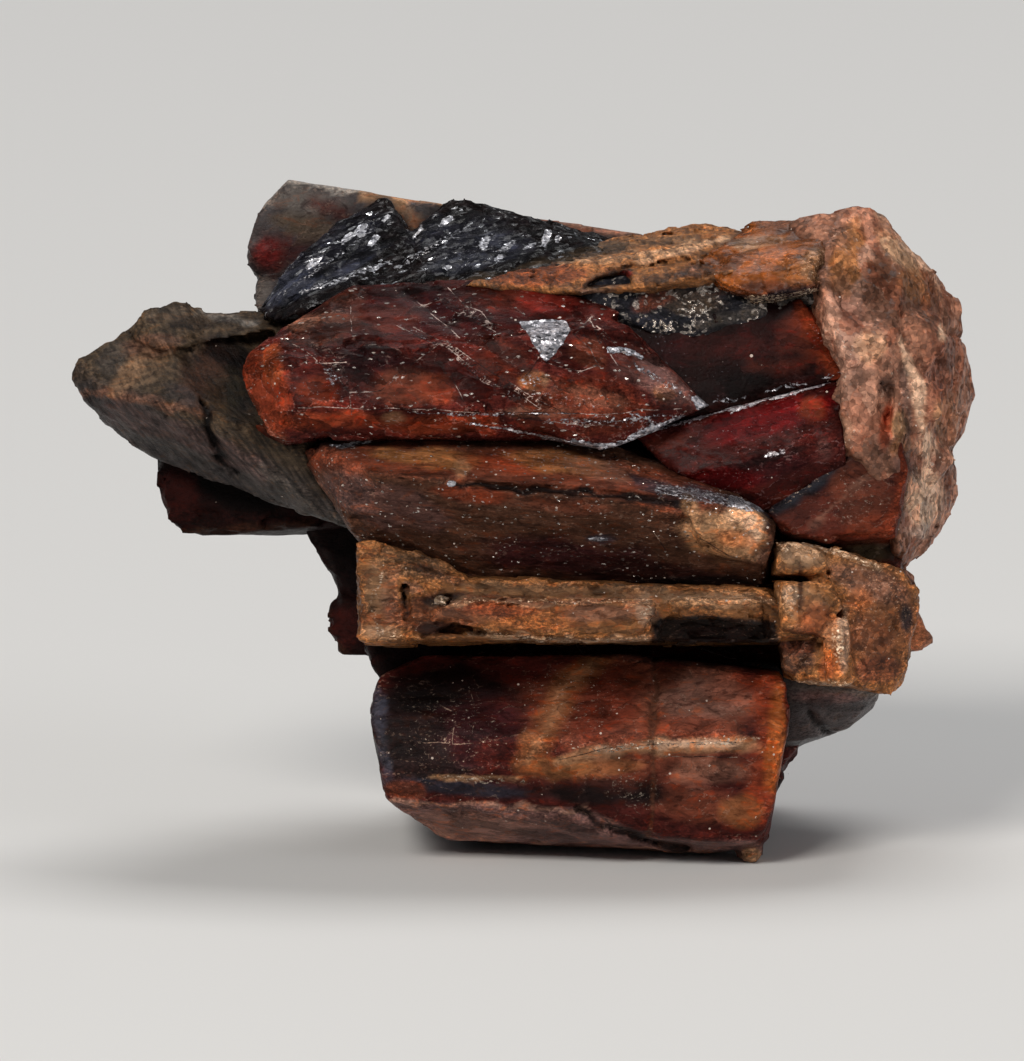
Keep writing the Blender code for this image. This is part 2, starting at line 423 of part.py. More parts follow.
def foot_cutter():
    """A block whose top is the plane that the specimen rests on."""
    mesh = bpy.data.meshes.new("foot_cutter")
    shape = bmesh.new()
    bmesh.ops.create_cube(shape, size=FOOT_CUTTER * MM)
    bmesh.ops.translate(shape, vec=(0, 0, -FOOT_CUTTER * MM / 2), verts=shape.verts)
    shape.to_mesh(mesh)
    shape.free()
    return bpy.data.objects.new("foot_cutter", mesh)


def rhodonite_material():
    """Dark red-brown, glassy where it is fresh."""
    material = bpy.data.materials.new("rhodonite")
    material.use_nodes = True
    shader = material.node_tree.nodes["Principled BSDF"]
    shader.inputs["Base Color"].default_value = (0.16, 0.045, 0.025, 1)
    shader.inputs["Roughness"].default_value = 0.35
    shader.inputs["Metallic"].default_value = 0.0
    return material


def grow_together(specimen, others):
    """Join the others to the specimen, so that all of them are one closed solid."""
    union = specimen.modifiers.new("grown_together", "BOOLEAN")
    union.operation = "UNION"
    union.operand_type = "COLLECTION"
    union.collection = others
    union.solver = "EXACT"


def main():
    clear_scene()
    rng = random.Random(GRAIN_RNG_SEED)
    crystals = {
        name: convex_body(name, [leaned(corner) for corner in corners])
        for name, corners in CRYSTALS.items()
    }
    gaps = []
    for name, (crystal, corners) in BROKEN_OUT.items():
        gap = convex_body(name, [leaned(corner) for corner in corners])
        cut(crystals[crystal], name, gap)
        gaps.append(gap)
    grains = []
    for number, grain in enumerate(GRAINS):
        corners = [leaned(corner) for corner in grain_corners(*grain, rng)]
        grains.append(convex_body(f"grain_{number:02d}", corners))

    specimen = crystals.pop("lower_block")
    specimen.name = "crystal_cluster"
    specimen.data.materials.append(rhodonite_material())
    bpy.context.scene.collection.objects.link(specimen)
    foot = foot_cutter()
    helper_collection("cut_away", gaps + [foot])
    grow_together(specimen, helper_collection("grown_together", [*crystals.values(), *grains]))
    cut(specimen, "flat_foot", foot)


main()
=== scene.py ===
"""Rhodonite specimen: every crystal as a fine mesh with its relief, its colours and its stone.

Places are given as in the photograph's view, in millimetres: right of the middle, back from the
front plane, and up. leaned() takes them to the model's frame. Places of markings are given by
the photograph's own pixels, 20 to the millimetre. Lists of places are flat: right, back and up
for one corner after another, or across and down for one pixel after another.
"""

import math
import random
from itertools import product

import bmesh
import bpy
import numpy as np
import openvdb
from mathutils import Matrix, Vector


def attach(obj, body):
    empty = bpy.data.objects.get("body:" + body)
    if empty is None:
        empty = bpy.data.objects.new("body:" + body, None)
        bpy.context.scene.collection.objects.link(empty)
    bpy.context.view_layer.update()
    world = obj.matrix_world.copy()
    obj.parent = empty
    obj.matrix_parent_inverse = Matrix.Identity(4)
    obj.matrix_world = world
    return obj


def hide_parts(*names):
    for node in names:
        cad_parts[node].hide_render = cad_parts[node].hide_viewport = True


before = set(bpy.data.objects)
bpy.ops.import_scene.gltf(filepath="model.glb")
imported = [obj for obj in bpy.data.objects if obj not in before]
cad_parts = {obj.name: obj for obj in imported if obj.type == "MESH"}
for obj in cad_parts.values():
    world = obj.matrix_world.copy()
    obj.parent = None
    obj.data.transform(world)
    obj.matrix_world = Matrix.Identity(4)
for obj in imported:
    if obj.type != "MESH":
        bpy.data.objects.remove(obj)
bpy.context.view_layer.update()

MM = 0.001
NODE = "crystal_cluster"

# How the bundle stands
LEAN_BACK_DEG = 10.0
FOOT_HEIGHT = 0.88
MIDDLE_BACK = 11.44

# The photograph's scale: its pixel at right 0 and up 0, and pixels per millimetre
PIXEL_RIGHT = 523.0
PIXEL_UP = 860.0
PIXELS_PER_MM = 20.0
PHOTO_WIDTH = 1024
PHOTO_HEIGHT = 1061

COARSER = 1.0
BAND = 0.75  # how far from a surface its distances are kept
FAR = 9.0  # farther than anything that counts
RELIEF_REACH = 0.5  # the most that relief stands out or is bitten away
FLAT_MERGED = 0.01  # how far from flat the faces may be that are merged
MARKS_REACH = 7  # how far in from the front, or from the back, the marks go
MARKS_FADE = 2.0

# The corners of each convex crystal
CRYSTALS = {
    "left_prism": [-22.4, 4.5, 25, -22.75, 4.2, 24.3, -22.3, 3.6, 23.3, -20.9, 5.5, 25.7,
        -19.2, 6.5, 27, -15.9, 7, 27.5, -8, 5.5, 27.6, -21, 1.6, 23.3, -17.4, -0.3, 22.7,
        -15.8, -0.6, 22.4, -11, -0.2, 20.3, -21.1, 4.6, 21.8, -19.6, 4.6, 20.9, -18.4, 4.6, 20,
        -12.7, 3.6, 18.3, -8.6, 2, 16.4, -21.2, 8.5, 24, -18.5, 11.5, 26, -18, 11, 21, -6, 12, 26.5,
        -6, 12, 18],
    "left_knob": [-19.9, 5.2, 26.3, -19, 5.4, 27.5, -17.7, 6, 28, -16.9, 6.2, 28, -16, 6.6, 27.5,
        -18.6, 3.2, 25.6, -16.4, 3.8, 25.8, -15.2, 6, 26.6, -18.6, 9.5, 27, -16.2, 9.5, 27, -17.5, 7, 24],
    "lower_left_block": [-18.5, 6, 20.2, -18.5, 6.2, 19.4, -18.2, 6, 18, -17.9, 6, 17,
        -17.25, 6.2, 16.35, -16.3, 6.4, 16.2, -14.9, 6.4, 16.25, -11.2, 6, 16.9, -8.5, 5, 16.7,
        -8.5, 5, 20, -17.2, 6, 21.2, -17.6, 13, 20.4, -16.9, 12.6, 17, -8, 13.5, 16.4, -8, 14, 21],
    "rear_slab": [-11.8, 9.4, 34.15, -12.9, 9.2, 33.1, -13.55, 9.2, 32.2, -13.9, 9.2, 30.5,
        -13.95, 9.3, 29.8, -13.5, 9.4, 29.4, -11, 9, 26.5, 6.3, 9.2, 31.4, 6.3, 9, 25, -12, 17.2, 33.4,
        -13.2, 17, 31, -13, 16.4, 29, 5.4, 16.6, 30.8, 5.6, 17, 25, -8, 17, 26],
    "rear_slab_step": [-13.5, 9, 29.3, -13.65, 8.4, 28.4, -13.6, 7.8, 27.8, -13.3, 7.4, 27.4,
        -8, 7, 27, -8, 8.5, 29.8, -13, 15, 29.2, -12.6, 14.6, 26.6, -7, 15, 26.6, -7, 15, 29.5],
    "black_crystal_left": [-13.4, 4.6, 27.5, -12.3, 5, 29, -11, 5.6, 30.6, -9, 7.2, 32.2,
        -6.95, 8.2, 33.35, -5.9, 7.2, 32, -5.2, 6.2, 30.9, -4.6, 2, 28.6, -8.4, 1.9, 28.2, -11, 2.4, 27.6,
        -12.4, 3.2, 26.9, -7.2, 12, 32.2, -12, 12, 27.5, -5, 12, 28, -5.6, 11, 31],
    "black_crystal_right": [-6.3, 5.4, 30.3, -4.9, 6.8, 32, -3.6, 8, 33.2, -2.9, 8.2, 33.1,
        -0.8, 8.5, 32.4, 1.9, 8.4, 31.8, 3.9, 8, 31.2, 5.9, 7.4, 30.6, -6, 1.7, 28.5, -2.1, 1.2, 28.7,
        2, 1.4, 29.2, 6, 3, 29.9, -4, 13, 32.4, 5, 13, 30.6, -6, 13, 27, 6, 13, 27],
    "upper_lath": [-3, 1, 28.8, 2, 0.3, 28.4, 6, -0.1, 28.6, 10, 0, 29.4, 1.5, 3, 29.8, 4.6, 6.6, 31.2,
        7.2, 6.6, 31.6, 9.2, 6.5, 31.9, 10.8, 6.3, 31.5, 12.6, 5, 31, 12.6, 0.8, 29.6, 5, 13, 30.6,
        12, 14, 30.6, 0, 10, 27, 13, 12, 26.5],
    "upper_lath_ridge": [-1.6, 1.6, 29.2, 3.2, 1.6, 29.9, 7.4, 2.4, 30.8, 10.6, 3, 31, 10.4, 2.2, 30.4,
        6.4, 1.2, 29.9, 1.8, 0.6, 29, -1, 4, 29, 5, 5, 30, 10.8, 5, 30.2],
    "amber_block": [8.8, 1, 30, 9.8, -0.2, 28.9, 11.8, -0.7, 28.2, 14.6, -0.2, 28.7, 14.8, 0.6, 30.2,
        10.9, 4.4, 31.5, 11.7, 5, 32.1, 12.2, 5.2, 32.2, 12.9, 5.2, 32.15, 14, 4.8, 31.9, 16, 4, 31.8,
        12, 12, 31.4, 16, 12, 30.4, 10, 8, 27, 16, 8, 27],
    "black_hollow_wall": [2.5, 0.9, 28.7, 3.8, 0.6, 27.4, 6.8, 1, 26.3, 8.9, 1, 26.2, 12.8, 1.3, 27.7,
        14.9, 1.4, 28, 15.2, 1.8, 29.2, 8.5, 1.6, 29.6, 3, 7, 26, 15, 7, 26, 15, 7, 30, 3.5, 6, 29.8],
    "red_crystal_crown": [-12.9, 0.4, 26.1, -10.7, 1.2, 27.4, -9.6, 1.6, 28.1, -8.2, 1.9, 28.8,
        -4.3, 1.7, 29, -0.2, 1.4, 29, 2.2, 1, 28.6, -12.6, -0.8, 25.7, -4, -1.3, 25.9, 2.6, -0.8, 26.2,
        4.8, 0.2, 27.4, -10, 8, 27.4, 4, 8, 27.4, -11, 8, 23, 4, 8, 23],
    "red_crystal": [-14.1, -0.2, 24.2, -13.75, -0.1, 25.3, -13.1, 0.2, 26, -12, -0.6, 26.1,
        -12.4, -1.9, 24.9, -11.3, -2.7, 22.7, -13.4, -0.7, 22.6, -12.7, -0.9, 21.2, -10.8, -1.7, 21,
        -7.1, -1.9, 21.2, -2.5, -2.2, 21.6, -3, -2.9, 22.6, -4, -1.7, 25.8, 0.2, -1.6, 26, 1.5, -2.4, 22.4,
        1, -2, 21.2, -9, 8, 26, 2, 8, 26, -9, 8, 20, 2, 8, 20, -12.6, 4, 25.4, -12, 4, 21],
    "red_crystal_heel": [-13.4, -0.2, 21.8, -13.2, -0.2, 20.8, -12.1, -0.5, 20.45, -10.6, -0.8, 20.8,
        -9.8, -0.8, 21.6, -13, 5, 21.6, -12.6, 5, 20.2, -8, 5, 20.4, -8, 5, 22],
    "red_crystal_front": [-4.5, -2.1, 24.4, -2.6, -2.4, 22, -0.2, -2.4, 21.5, 2.6, -2.1, 20.9,
        3.8, -1.9, 20.5, 4.9, -1.7, 20.7, 6.6, -1.3, 21.6, 9.3, -0.3, 22.7, 8.2, -0.6, 23.6,
        6.2, -0.5, 25.3, 5.3, -0.2, 26.7, 3.6, 0, 27.3, -2, -1.8, 26.1, 0.6, -1.7, 26.3, 2.4, -3, 22.9,
        -3.6, 6, 24, 8, 6, 24, 3, 6, 20.5, 3, 6, 27.5],
    "dark_red_crystal": [3, 1.4, 27.2, 6.8, 1.3, 26.6, 13.9, 1.3, 28.1, 14.7, 1.2, 27.1, 15, 0.9, 26.3,
        16, 0.6, 24.1, 9.7, 0.3, 22.4, 5, 0.3, 21.6, 3, 9, 28, 15, 9, 28.4, 16, 9, 22, 3, 9, 21],
    "crimson_crystal": [5.6, 0.3, 21.2, 9.8, 0.2, 22.5, 15.9, 0.3, 24, 15.7, -0.2, 23,
        15.9, -0.7, 21.4, 16.1, -0.5, 20.5, 12.6, -0.9, 20.2, 11, -1, 19.8, 7.6, -0.4, 19.2, 11.1, 0, 18,
        12.2, 0.2, 17.4, 16.2, 0.4, 19, 6, 8, 22, 16, 8, 24, 16, 8, 17.5, 8, 8, 18],
    "lower_right_block": [12.2, -0.1, 17.5, 13, -0.3, 16.4, 15.4, -0.5, 15.9, 18.6, -0.1, 16.2,
        18.9, -0.1, 18.5, 19.3, 0.2, 19.6, 18.9, 0.4, 21, 17, 0.2, 20.7, 15.4, 0, 20, 12, 8, 18, 13, 8, 15,
        19, 8, 15.5, 19, 8, 21.5],
    "olive_step": [15, 1.6, 16.4, 15.8, 1.8, 15.2, 17.4, 2, 14.5, 18.9, 2.2, 14.6, 18.9, 1.8, 16.4,
        15, 9, 16, 16, 9, 13, 19.4, 9, 13.5, 19, 9, 16.6],
    "middle_lath": [-11.2, 0.4, 20.4, -10, -0.6, 20.9, -9.2, -2.2, 19.9, -7.2, -3.2, 19.3,
        -3.2, -3.7, 18.9, 0.9, -3.9, 18.5, 5.9, -3.8, 18.1, 8.4, -3.4, 18, 11.4, -2.2, 16.9,
        12.5, -1.8, 16.3, -2.5, 0.6, 21.6, 4, 0.6, 20.8, 8, 0.4, 19.4, 11, 0.3, 18.4, 12.6, 0.2, 17,
        -8.6, -0.4, 16.4, -6, 0.1, 15.5, -2.6, 0.5, 14.1, 3.9, 0.6, 13.5, 11.9, 0.6, 13.5, 12.3, -1.3, 15,
        -9, 9, 21, 12, 9, 19.5, 12, 9, 12, -6, 9, 13],
    "middle_lath_broken_end": [8, -3.7, 17.5, 8.9, -3.8, 18, 11, -3, 17.8, 12.2, -2.6, 17,
        12.5, -2.3, 15.9, 12.1, -2.1, 14.7, 10.6, -2.7, 15.1, 8.8, -3.3, 16, 8.6, 0, 17, 12.2, 0, 16.6,
        12, 0, 14.8, 9, 0, 15],
    "ledge_left_block": [-8.2, -1.5, 15.7, -7.4, -1.5, 15.9, -5.5, -1.3, 15.4, -2.6, -0.9, 14.1,
        -8.1, -2.1, 11.1, -7.7, -2.2, 10.9, -5.9, -2.2, 11, -5.9, -2, 14, -8, 8, 15.6, -8, 8, 11,
        -3, 8, 14, -5, 8, 10.6],
    "ledge_shelf": [-6.4, -1.2, 14.1, -2.6, -1.4, 14, -1, -1.3, 13.7, 6.8, -1.2, 13.5,
        11.9, -1.1, 13.5, -6.4, -1.9, 11.1, 6.2, -1.9, 11.1, 6.9, -1.6, 12, 12.2, -1.5, 11.6,
        14.6, -1.1, 11.1, -6.4, 8, 14, 14, 8, 14, -6.4, 8, 10.8, 14, 8, 10.8],
    "ledge_splinter": [-4.7, -2.2, 12.4, -3.6, -2.6, 12.9, -2.4, -2.9, 13.1, 1, -2.7, 12.8,
        6.5, -3, 13.1, 6.6, -2.9, 12.2, 6.2, -2.9, 11.1, 2, -3, 11.1, -0.3, -2.7, 11.7, -2.6, -2.5, 12,
        -4.6, -2.1, 11.9, -4, -0.5, 12.4, 6.2, -0.5, 12.6, 6, -0.5, 11.3],
    "ledge_right_splinter": [7.2, -2, 12.9, 8.6, -2.3, 13.1, 11.9, -1.9, 13, 12.1, -1.9, 11.7,
        9.4, -2.3, 12, 7.6, -2.1, 12.2, 7.4, -0.5, 12.8, 12, -0.5, 12.4],
    "tan_block": [12.6, -1.6, 15.9, 13.9, -1.4, 15.7, 15.2, -1.1, 15.4, 15.2, -1.4, 14.2,
        12.6, -1.9, 14.3, 12.4, 6, 16, 16, 6, 15.6, 16, 6, 13.6, 12.4, 6, 13.6],
    "facet_block": [12.6, -1.7, 14.1, 13.4, -2.4, 13.9, 15.2, -1.9, 14.1, 16, -1.5, 12.6,
        15, -1.8, 11.2, 12.9, -2.3, 11.6, 12.5, 5, 14.2, 16, 5, 14, 15.4, 5, 10.8, 12.6, 5, 11.2],
    "bright_block": [15, -1.6, 12, 15.6, -2.1, 12.3, 16.3, -1.6, 12.1, 16.6, -1.4, 8.85, 15.9, -2, 8.7,
        15.2, -1.5, 8.8, 14.8, 5, 12, 16.6, 5, 12, 16.6, 5, 8.8, 15, 5, 8.8],
    "step_block": [15, -0.8, 15.4, 15.8, -0.7, 15.6, 16.8, -0.6, 15.2, 17.5, -0.4, 14.6,
        18.8, 0.1, 14.6, 19.2, 0.4, 14.2, 19.8, 0.9, 13.4, 19.85, 0.9, 12.6, 19.4, 0.6, 11,
        19.1, 0.7, 10.2, 19, 0.9, 8.9, 18.3, 0.9, 8.3, 16.5, -0.9, 8.8, 16, -1.1, 12, 14, 9, 15,
        19.4, 9, 13.6, 18.9, 9, 8.6, 14, 9, 9],
    "dark_recess_wall": [12.9, 0.2, 11.2, 13.1, 0, 9.5, 14.2, -0.5, 8.9, 16.6, -0.7, 8.75,
        16.4, -0.4, 11.4, 12.8, 8, 11.2, 13.1, 8, 9, 17, 8, 8.6],
    "right_shard": [19, 6.8, 14.2, 20, 7.4, 12.2, 20.7, 7.8, 10.9, 20.5, 7.9, 10.5, 19.2, 7.6, 10.3,
        17.8, 7, 10.2, 17.8, 7, 15, 18.6, 11, 14.2, 19.6, 11, 11, 17.6, 11, 10.6],
    "grey_rear_crystal": [12.4, 5, 9.8, 17.9, 4.6, 8.7, 18, 8.2, 9.2, 17.85, 8.6, 8.1, 17.75, 8.6, 7.6,
        17.1, 8.6, 7.2, 16.4, 8.4, 6.5, 15.3, 8.2, 6.5, 13.9, 8, 5.85, 2, 7, 5.5, 2, 15, 4.8, 2, 16, 10,
        17.6, 15, 9.6, 15.8, 14.4, 6.4, 13.6, 14.6, 5.4],
    "lower_block": [-7.15, 3.6, 9.2, -7.7, 3.2, 7.9, -7.65, 2, 7.2, -7.4, 1.2, 5.9, -7.1, 1.4, 4,
        -6.9, 2, 3, -6, 3.6, 2.65, -5.2, 4.4, 2, -3.9, 5.5, 0.95, 13.1, 0.3, 6.2, 13.4, 1.1, 7.5,
        13.1, 2, 9, 12.9, 3, 9.4, 5, 3.6, 10.3, -5, 4.2, 10.2, 1.8, 0.1, 5.9, 12.9, 0.7, 4.6, 12.6, 1.2, 3,
        -4.6, 1.8, 2.85, 0.9, 1.5, 2.7, 3.9, 1.6, 2.2, 6.4, 1.8, 1.5, 7.9, 1.9, 1, 11.9, 2, 0.9,
        5.6, 5, 0.5, 8.8, 4.7, 0.25, 11.9, 4, 0.6, 12.3, 4.6, 1, -6.4, 15, 9.4, -6.8, 14.4, 4,
        -3, 16.6, 1.2, 12, 16.6, 1.2, 12.9, 15.4, 5, 12.4, 15, 9.6],
    "foot_lump": [10.9, 3.9, 0.3, 11.2, 3.6, -0.05, 11.6, 3.6, -0.15, 11.95, 3.9, 0.6, 10.6, 5.5, -0.3,
        12, 5.5, -0.3, 11, 6, 1.4, 12, 6, 1.4],
    "rear_splinter_upper": [-11.1, 8, 17.2, -10.9, 8, 16.4, -10.3, 8, 15.4, -9.8, 8, 14.9,
        -9.25, 8.2, 13.8, -9.15, 8.3, 13.2, -5, 7, 12.4, -5, 6.5, 17.2, -10.4, 13.6, 17, -9, 14.2, 13.6,
        -5, 14, 12.4, -5, 14, 17.6],
    "rear_splinter_lower": [-9.2, 8.8, 13.4, -9.75, 9, 12.85, -9.9, 9.1, 12.4, -9.85, 9.1, 11.8,
        -9.6, 9.1, 10.95, -9.25, 9.1, 10.25, -8.95, 9.1, 10.2, -7.9, 8.6, 10.5, -5, 8, 10.2, -5, 8, 13.6,
        -9, 14.6, 12.8, -8.6, 14.6, 10.6, -5, 15, 10.4, -5, 15, 13.6],
    "rear_neck": [-8, 6.2, 10.7, -7.5, 6.2, 9.6, -7.15, 6, 9, -4, 5.4, 9, -4, 5.4, 12, -7.8, 13, 10.8,
        -6.8, 13, 8.6, -4, 13, 9, -4, 13, 12],
    "back_prism": [-10.2, 12, 25.4, -11.6, 14.4, 22.4, -10.4, 16.8, 19.4, -8.6, 13, 15.8, -8, 18, 16.4,
        -7.6, 20.4, 20.6, -8.4, 18.6, 25.6, -6, 12, 27.6, 17, 11, 27, 17, 18.2, 26, 17, 20.6, 20.8,
        17, 18.2, 15.6, 17, 11, 14],
    "back_foot_prism": [-5.6, 11, 10.6, -6.4, 13.6, 6.4, -3.6, 12, 1.2, -2.8, 19, 1.8, -5.2, 20.2, 6.6,
        -4.4, 17.6, 11.4, -2, 12, 13.4, -2.6, 18.6, 13.6, 15.4, 11, 12.6, 14.8, 18.6, 12, 12.6, 20, 6.6,
        11.6, 18.8, 1.8, 11.8, 12, 1, 12.8, 12, 6, 15, 12, 8.4],
    "back_lath": [-6.4, 15.6, 16.6, -7.2, 18.4, 15, -6.2, 17.8, 12.4, -5, 14, 11.8, 12.6, 15, 17,
        13.4, 19.4, 15.6, 12.8, 18.6, 12.2, 12.4, 14, 11],
    "base_upper": [13.4, 3.8, 31.9, 15.4, 3.4, 32.4, 16.8, 3.8, 32.9, 18, 4.6, 32.3, 19.2, 5.6, 31,
        20.6, 6.6, 29.6, 21.9, 7.8, 28, 22.2, 8.6, 26.4, 14.9, 0.4, 28.8, 15.4, -0.3, 26.6,
        16.4, -0.8, 24.6, 18.2, 0.4, 25.4, 19, 2.6, 29.4, 14.6, 14, 31.4, 17.4, 15.6, 31, 20.6, 15.8, 27.4,
        21.2, 14, 24, 15, 16, 24, 14, 6, 24],
    "base_middle": [15.9, -0.5, 24.6, 16, -0.9, 22.4, 16.4, -0.4, 20.4, 18.6, 0, 20.9, 19.2, 0.4, 19.6,
        18.9, 0.2, 17.6, 18.2, 0.2, 25, 20.6, 4, 26.6, 22.2, 8.2, 26, 22.6, 9, 24.6, 22.75, 9.6, 23.2,
        22.3, 9.4, 21.5, 21.8, 8.6, 20.7, 20.2, 3.6, 19.4, 21.6, 15.4, 24, 20.8, 16.4, 20.4, 16, 18.4, 25,
        15.6, 18.6, 18.6, 15, 8, 17, 17.8, 16, 15.8],
    "base_lower": [18.7, 0.6, 18.4, 18.8, 1.4, 15.4, 19.2, 3.8, 14.6, 19.6, 6, 15.9, 20.8, 7.6, 16.1,
        21.4, 8.2, 17, 21.9, 8.4, 18.2, 21.8, 8.6, 20.6, 19.6, 2.6, 20.4, 20.8, 14.6, 19.8, 20, 15, 16.6,
        18, 17.2, 14.4, 15, 17.6, 14, 15, 17.6, 20, 16, 6, 14, 16, 4, 20],
}

# What is broken out of the crystals: the crystal's name and the corners of the gap
BROKEN_OUT = {
    "recess_beside_red_crystal": ("left_prism", [-17.8, 3.9, 25.6, -16.1, -0.3, 22.7, -12.4, 6.6, 26.6,
        -12.4, 2.6, 21.4, -17.8, -4, 25.6, -16.1, -4, 22.7, -12.4, -4, 26.6, -12.4, -4, 21.4]),
    "cavity_in_upper_lath": ("upper_lath", [2.6, -2, 28.3, 5.9, -2, 28.4, 5.8, -2, 29.8, 3.4, -2, 29.6,
        3.3, 1.7, 28.8, 5.3, 1.7, 28.9, 5.1, 1.7, 29.5]),
    "hole_in_ledge": ("ledge_shelf", [-5, -3.2, 12.7, -3.4, -3.2, 12.8, -3.4, -3.2, 13.5,
        -4.9, -3.2, 13.4, -4.7, -0.2, 12.9, -3.7, -0.2, 12.9, -3.7, -0.2, 13.3, -4.7, -0.2, 13.2]),
    "slot_in_ledge": ("ledge_shelf", [-6.2, -3, 11.3, -5.75, -3, 11.3, -5.75, -3, 14.3,
        -6.15, -3, 14.3, -6.05, -0.6, 11.6, -5.9, -0.6, 11.6, -5.9, -0.6, 14.2, -6.05, -0.6, 14.2]),
    "gap_beside_tan_block": ("middle_lath", [12.1, -4, 15.7, 13.2, -4, 15.7, 13.2, -4, 13.2,
        12.15, -4, 13.2, 12.2, 0.4, 15.6, 13.2, 0.4, 15.6, 13.2, 0.4, 13.3, 12.2, 0.4, 13.3]),
    "pit_in_base": ("base_middle", [17.5, -3, 24.5, 18.8, -3, 24.3, 18.7, -3, 21, 17.7, -3, 20.9,
        17.9, 2, 23.6, 18.5, 2, 23.4, 18.3, 2, 21.8]),
}

# Grains that stud the granular base: (right, back, up, radius)
GRAIN_RNG_SEED = 11
GRAIN_CORNERS = 18
GRAIN_ROUGHNESS = 0.16
GRAIN_SINK = 1.0
BASE_CORE_RIGHT = 16.0
BASE_CORE_BACK = 9.0
GRAINS = [
    (14.4, 2.9, 30.7, 1.5), (16.2, 3, 31.2, 1.6), (17.8, 4.2, 30.6, 1.5), (15.7, 1.4, 29.3, 1.7),
    (17, 1.6, 28, 1.9), (19.9, 5.6, 28.6, 1.9), (21, 7.4, 26.9, 1.5), (15.9, 0.6, 26.7, 1.6),
    (17.6, 0.7, 25.6, 1.8), (19.5, 3, 25.8, 2.2), (21.2, 7.2, 24.6, 1.9), (16.9, 0.2, 23.2, 1.7),
    (19.3, 1.8, 23, 2.2), (21.2, 7, 22, 2), (16.8, -0.1, 21.2, 1.5), (18.9, 1.2, 20.9, 1.7),
    (20.4, 4.6, 20, 2), (19.4, 2.2, 18.6, 1.5), (20.7, 7, 17.9, 1.7), (19.4, 3.4, 16.6, 1.5),
    (19.8, 12, 28.6, 2.1), (20.8, 12.4, 25.4, 1.9), (20.8, 12.8, 22, 1.9), (20, 13, 18.4, 1.8),
    (17.8, 14.4, 29.6, 2), (18.6, 15.8, 25.6, 2), (18.4, 16.6, 21.6, 2.1), (17.6, 16.2, 17, 1.9),
    (15.6, 16.2, 28, 1.9), (15.8, 17.8, 23.4, 1.8), (15.6, 18, 19, 1.8), (16.4, 12.6, 30.2, 1.7),
    (18.3, 0.6, 12.8, 1.4), (18.4, 1, 10.2, 1.2), (17.6, 0.2, 14, 1.2), (18.8, 4.2, 13.6, 1.5),
    (18.4, 8, 12.6, 1.7), (17.6, 10.4, 14.2, 1.8),
]


def grouped(numbers, count):
    """A flat list of numbers as a list of points."""
    return [tuple(numbers[i : i + count]) for i in range(0, len(numbers), count)]


# Noise, on arrays of points

HASH_A, HASH_B, HASH_C, HASH_D = map(np.uint32, (374761393, 668265263, 2246822519, 3266489917))
HASH_SEED = 2654435761
CELL_INSET = 0.08  # how far a grain's middle stays from its cell's sides
SHARE_BITS = 10
SHARE_MOST = 2**SHARE_BITS - 1
LAYER_SHIFT = 17.3
LAYERED_GAIN = 1.6


def scrambled(cell, seed):
    """Thirty-two random bits for each whole-number place and seed."""
    cell = cell.astype(np.uint32)
    mixed = cell[:, 0] * HASH_A + cell[:, 1] * HASH_B + cell[:, 2] * HASH_C
    mixed += np.uint32((seed * HASH_SEED) & 0xFFFFFFFF)
    mixed = (mixed ^ (mixed >> np.uint32(13))) * HASH_D
    mixed = (mixed ^ (mixed >> np.uint32(15))) * HASH_A
    return mixed ^ (mixed >> np.uint32(16))


def hashed(cell, seed):
    """A random number from 0 to 1 for each whole-number place and seed."""
    return (scrambled(cell, seed) >> np.uint32(8)).astype(np.float32) / float(1 << 24)


def smooth_noise(points, seed):
    """Smooth noise from -1 to 1, with one swell to the unit."""
    cell = np.floor(points)
    part = (points - cell).astype(np.float32)
    part = part * part * (3 - 2 * part)
    cell = cell.astype(np.int32)
    total = np.zeros(len(points), np.float32)
    for corner in product((0, 1), repeat=3):
        weight = np.ones(len(points), np.float32)
        for axis in range(3):
            weight *= part[:, axis] if corner[axis] else 1 - part[:, axis]
        total += weight * hashed(cell + np.array(corner, np.int32), seed)
    return total * 2 - 1


def layered_noise(points, seed, layers):
    """Smooth noise with finer and weaker copies of itself laid over it."""
    total = np.zeros(len(points), np.float32)
    size = 0.5
    for layer in range(layers):
        total += smooth_noise(points * 2**layer + LAYER_SHIFT * layer, seed + layer) * size
        size *= 0.5
    return total * LAYERED_GAIN


def grain_noise(points, seed):
    """Distance to the nearest grain's middle, the way there, and the grain's own numbers."""
    cell = np.floor(points).astype(np.int32)
    nearest = np.full(len(points), FAR, np.float32)
    winner = np.zeros(len(points), np.int32)
    steps = np.array(list(product((-1, 0, 1), repeat=3)), np.int32)
    for number, step in enumerate(steps):
        away = ((grain_middle(cell + step, seed) - points) ** 2).sum(axis=1)
        closer = away < nearest
        winner[closer] = number
        nearest[closer] = away[closer]
    cell += steps[winner]
    own = np.stack([hashed(cell, seed + 31 + axis) for axis in range(3)], axis=1)
    return np.sqrt(nearest), grain_middle(cell, seed) - points, own


def grain_middle(cell, seed):
    """The middle of the grain in each cell."""
    bits = scrambled(cell, seed)
    shares = [((bits >> np.uint32(SHARE_BITS * axis)) & np.uint32(SHARE_MOST)) for axis in range(3)]
    shares = np.stack(shares, axis=1).astype(np.float32)
    return cell + CELL_INSET + ((1 - 2 * CELL_INSET) / SHARE_MOST) * shares


def turned(points, lean):
    """The points turned in the picture's plane, so that right becomes so many degrees upward."""
    if not lean:
        return points
    c, s = math.cos(math.radians(lean)), math.sin(math.radians(lean))
    right, back, up = points.T
    return np.stack([c * right + s * up, back, c * up - s * right], axis=1)


def ramp(value, low, high):
    """0 below low, 1 above high, and smooth between."""
    part = np.clip((value - low) / (high - low), 0, 1)
    return part * part * (3 - 2 * part)


# Crystals as distance fields

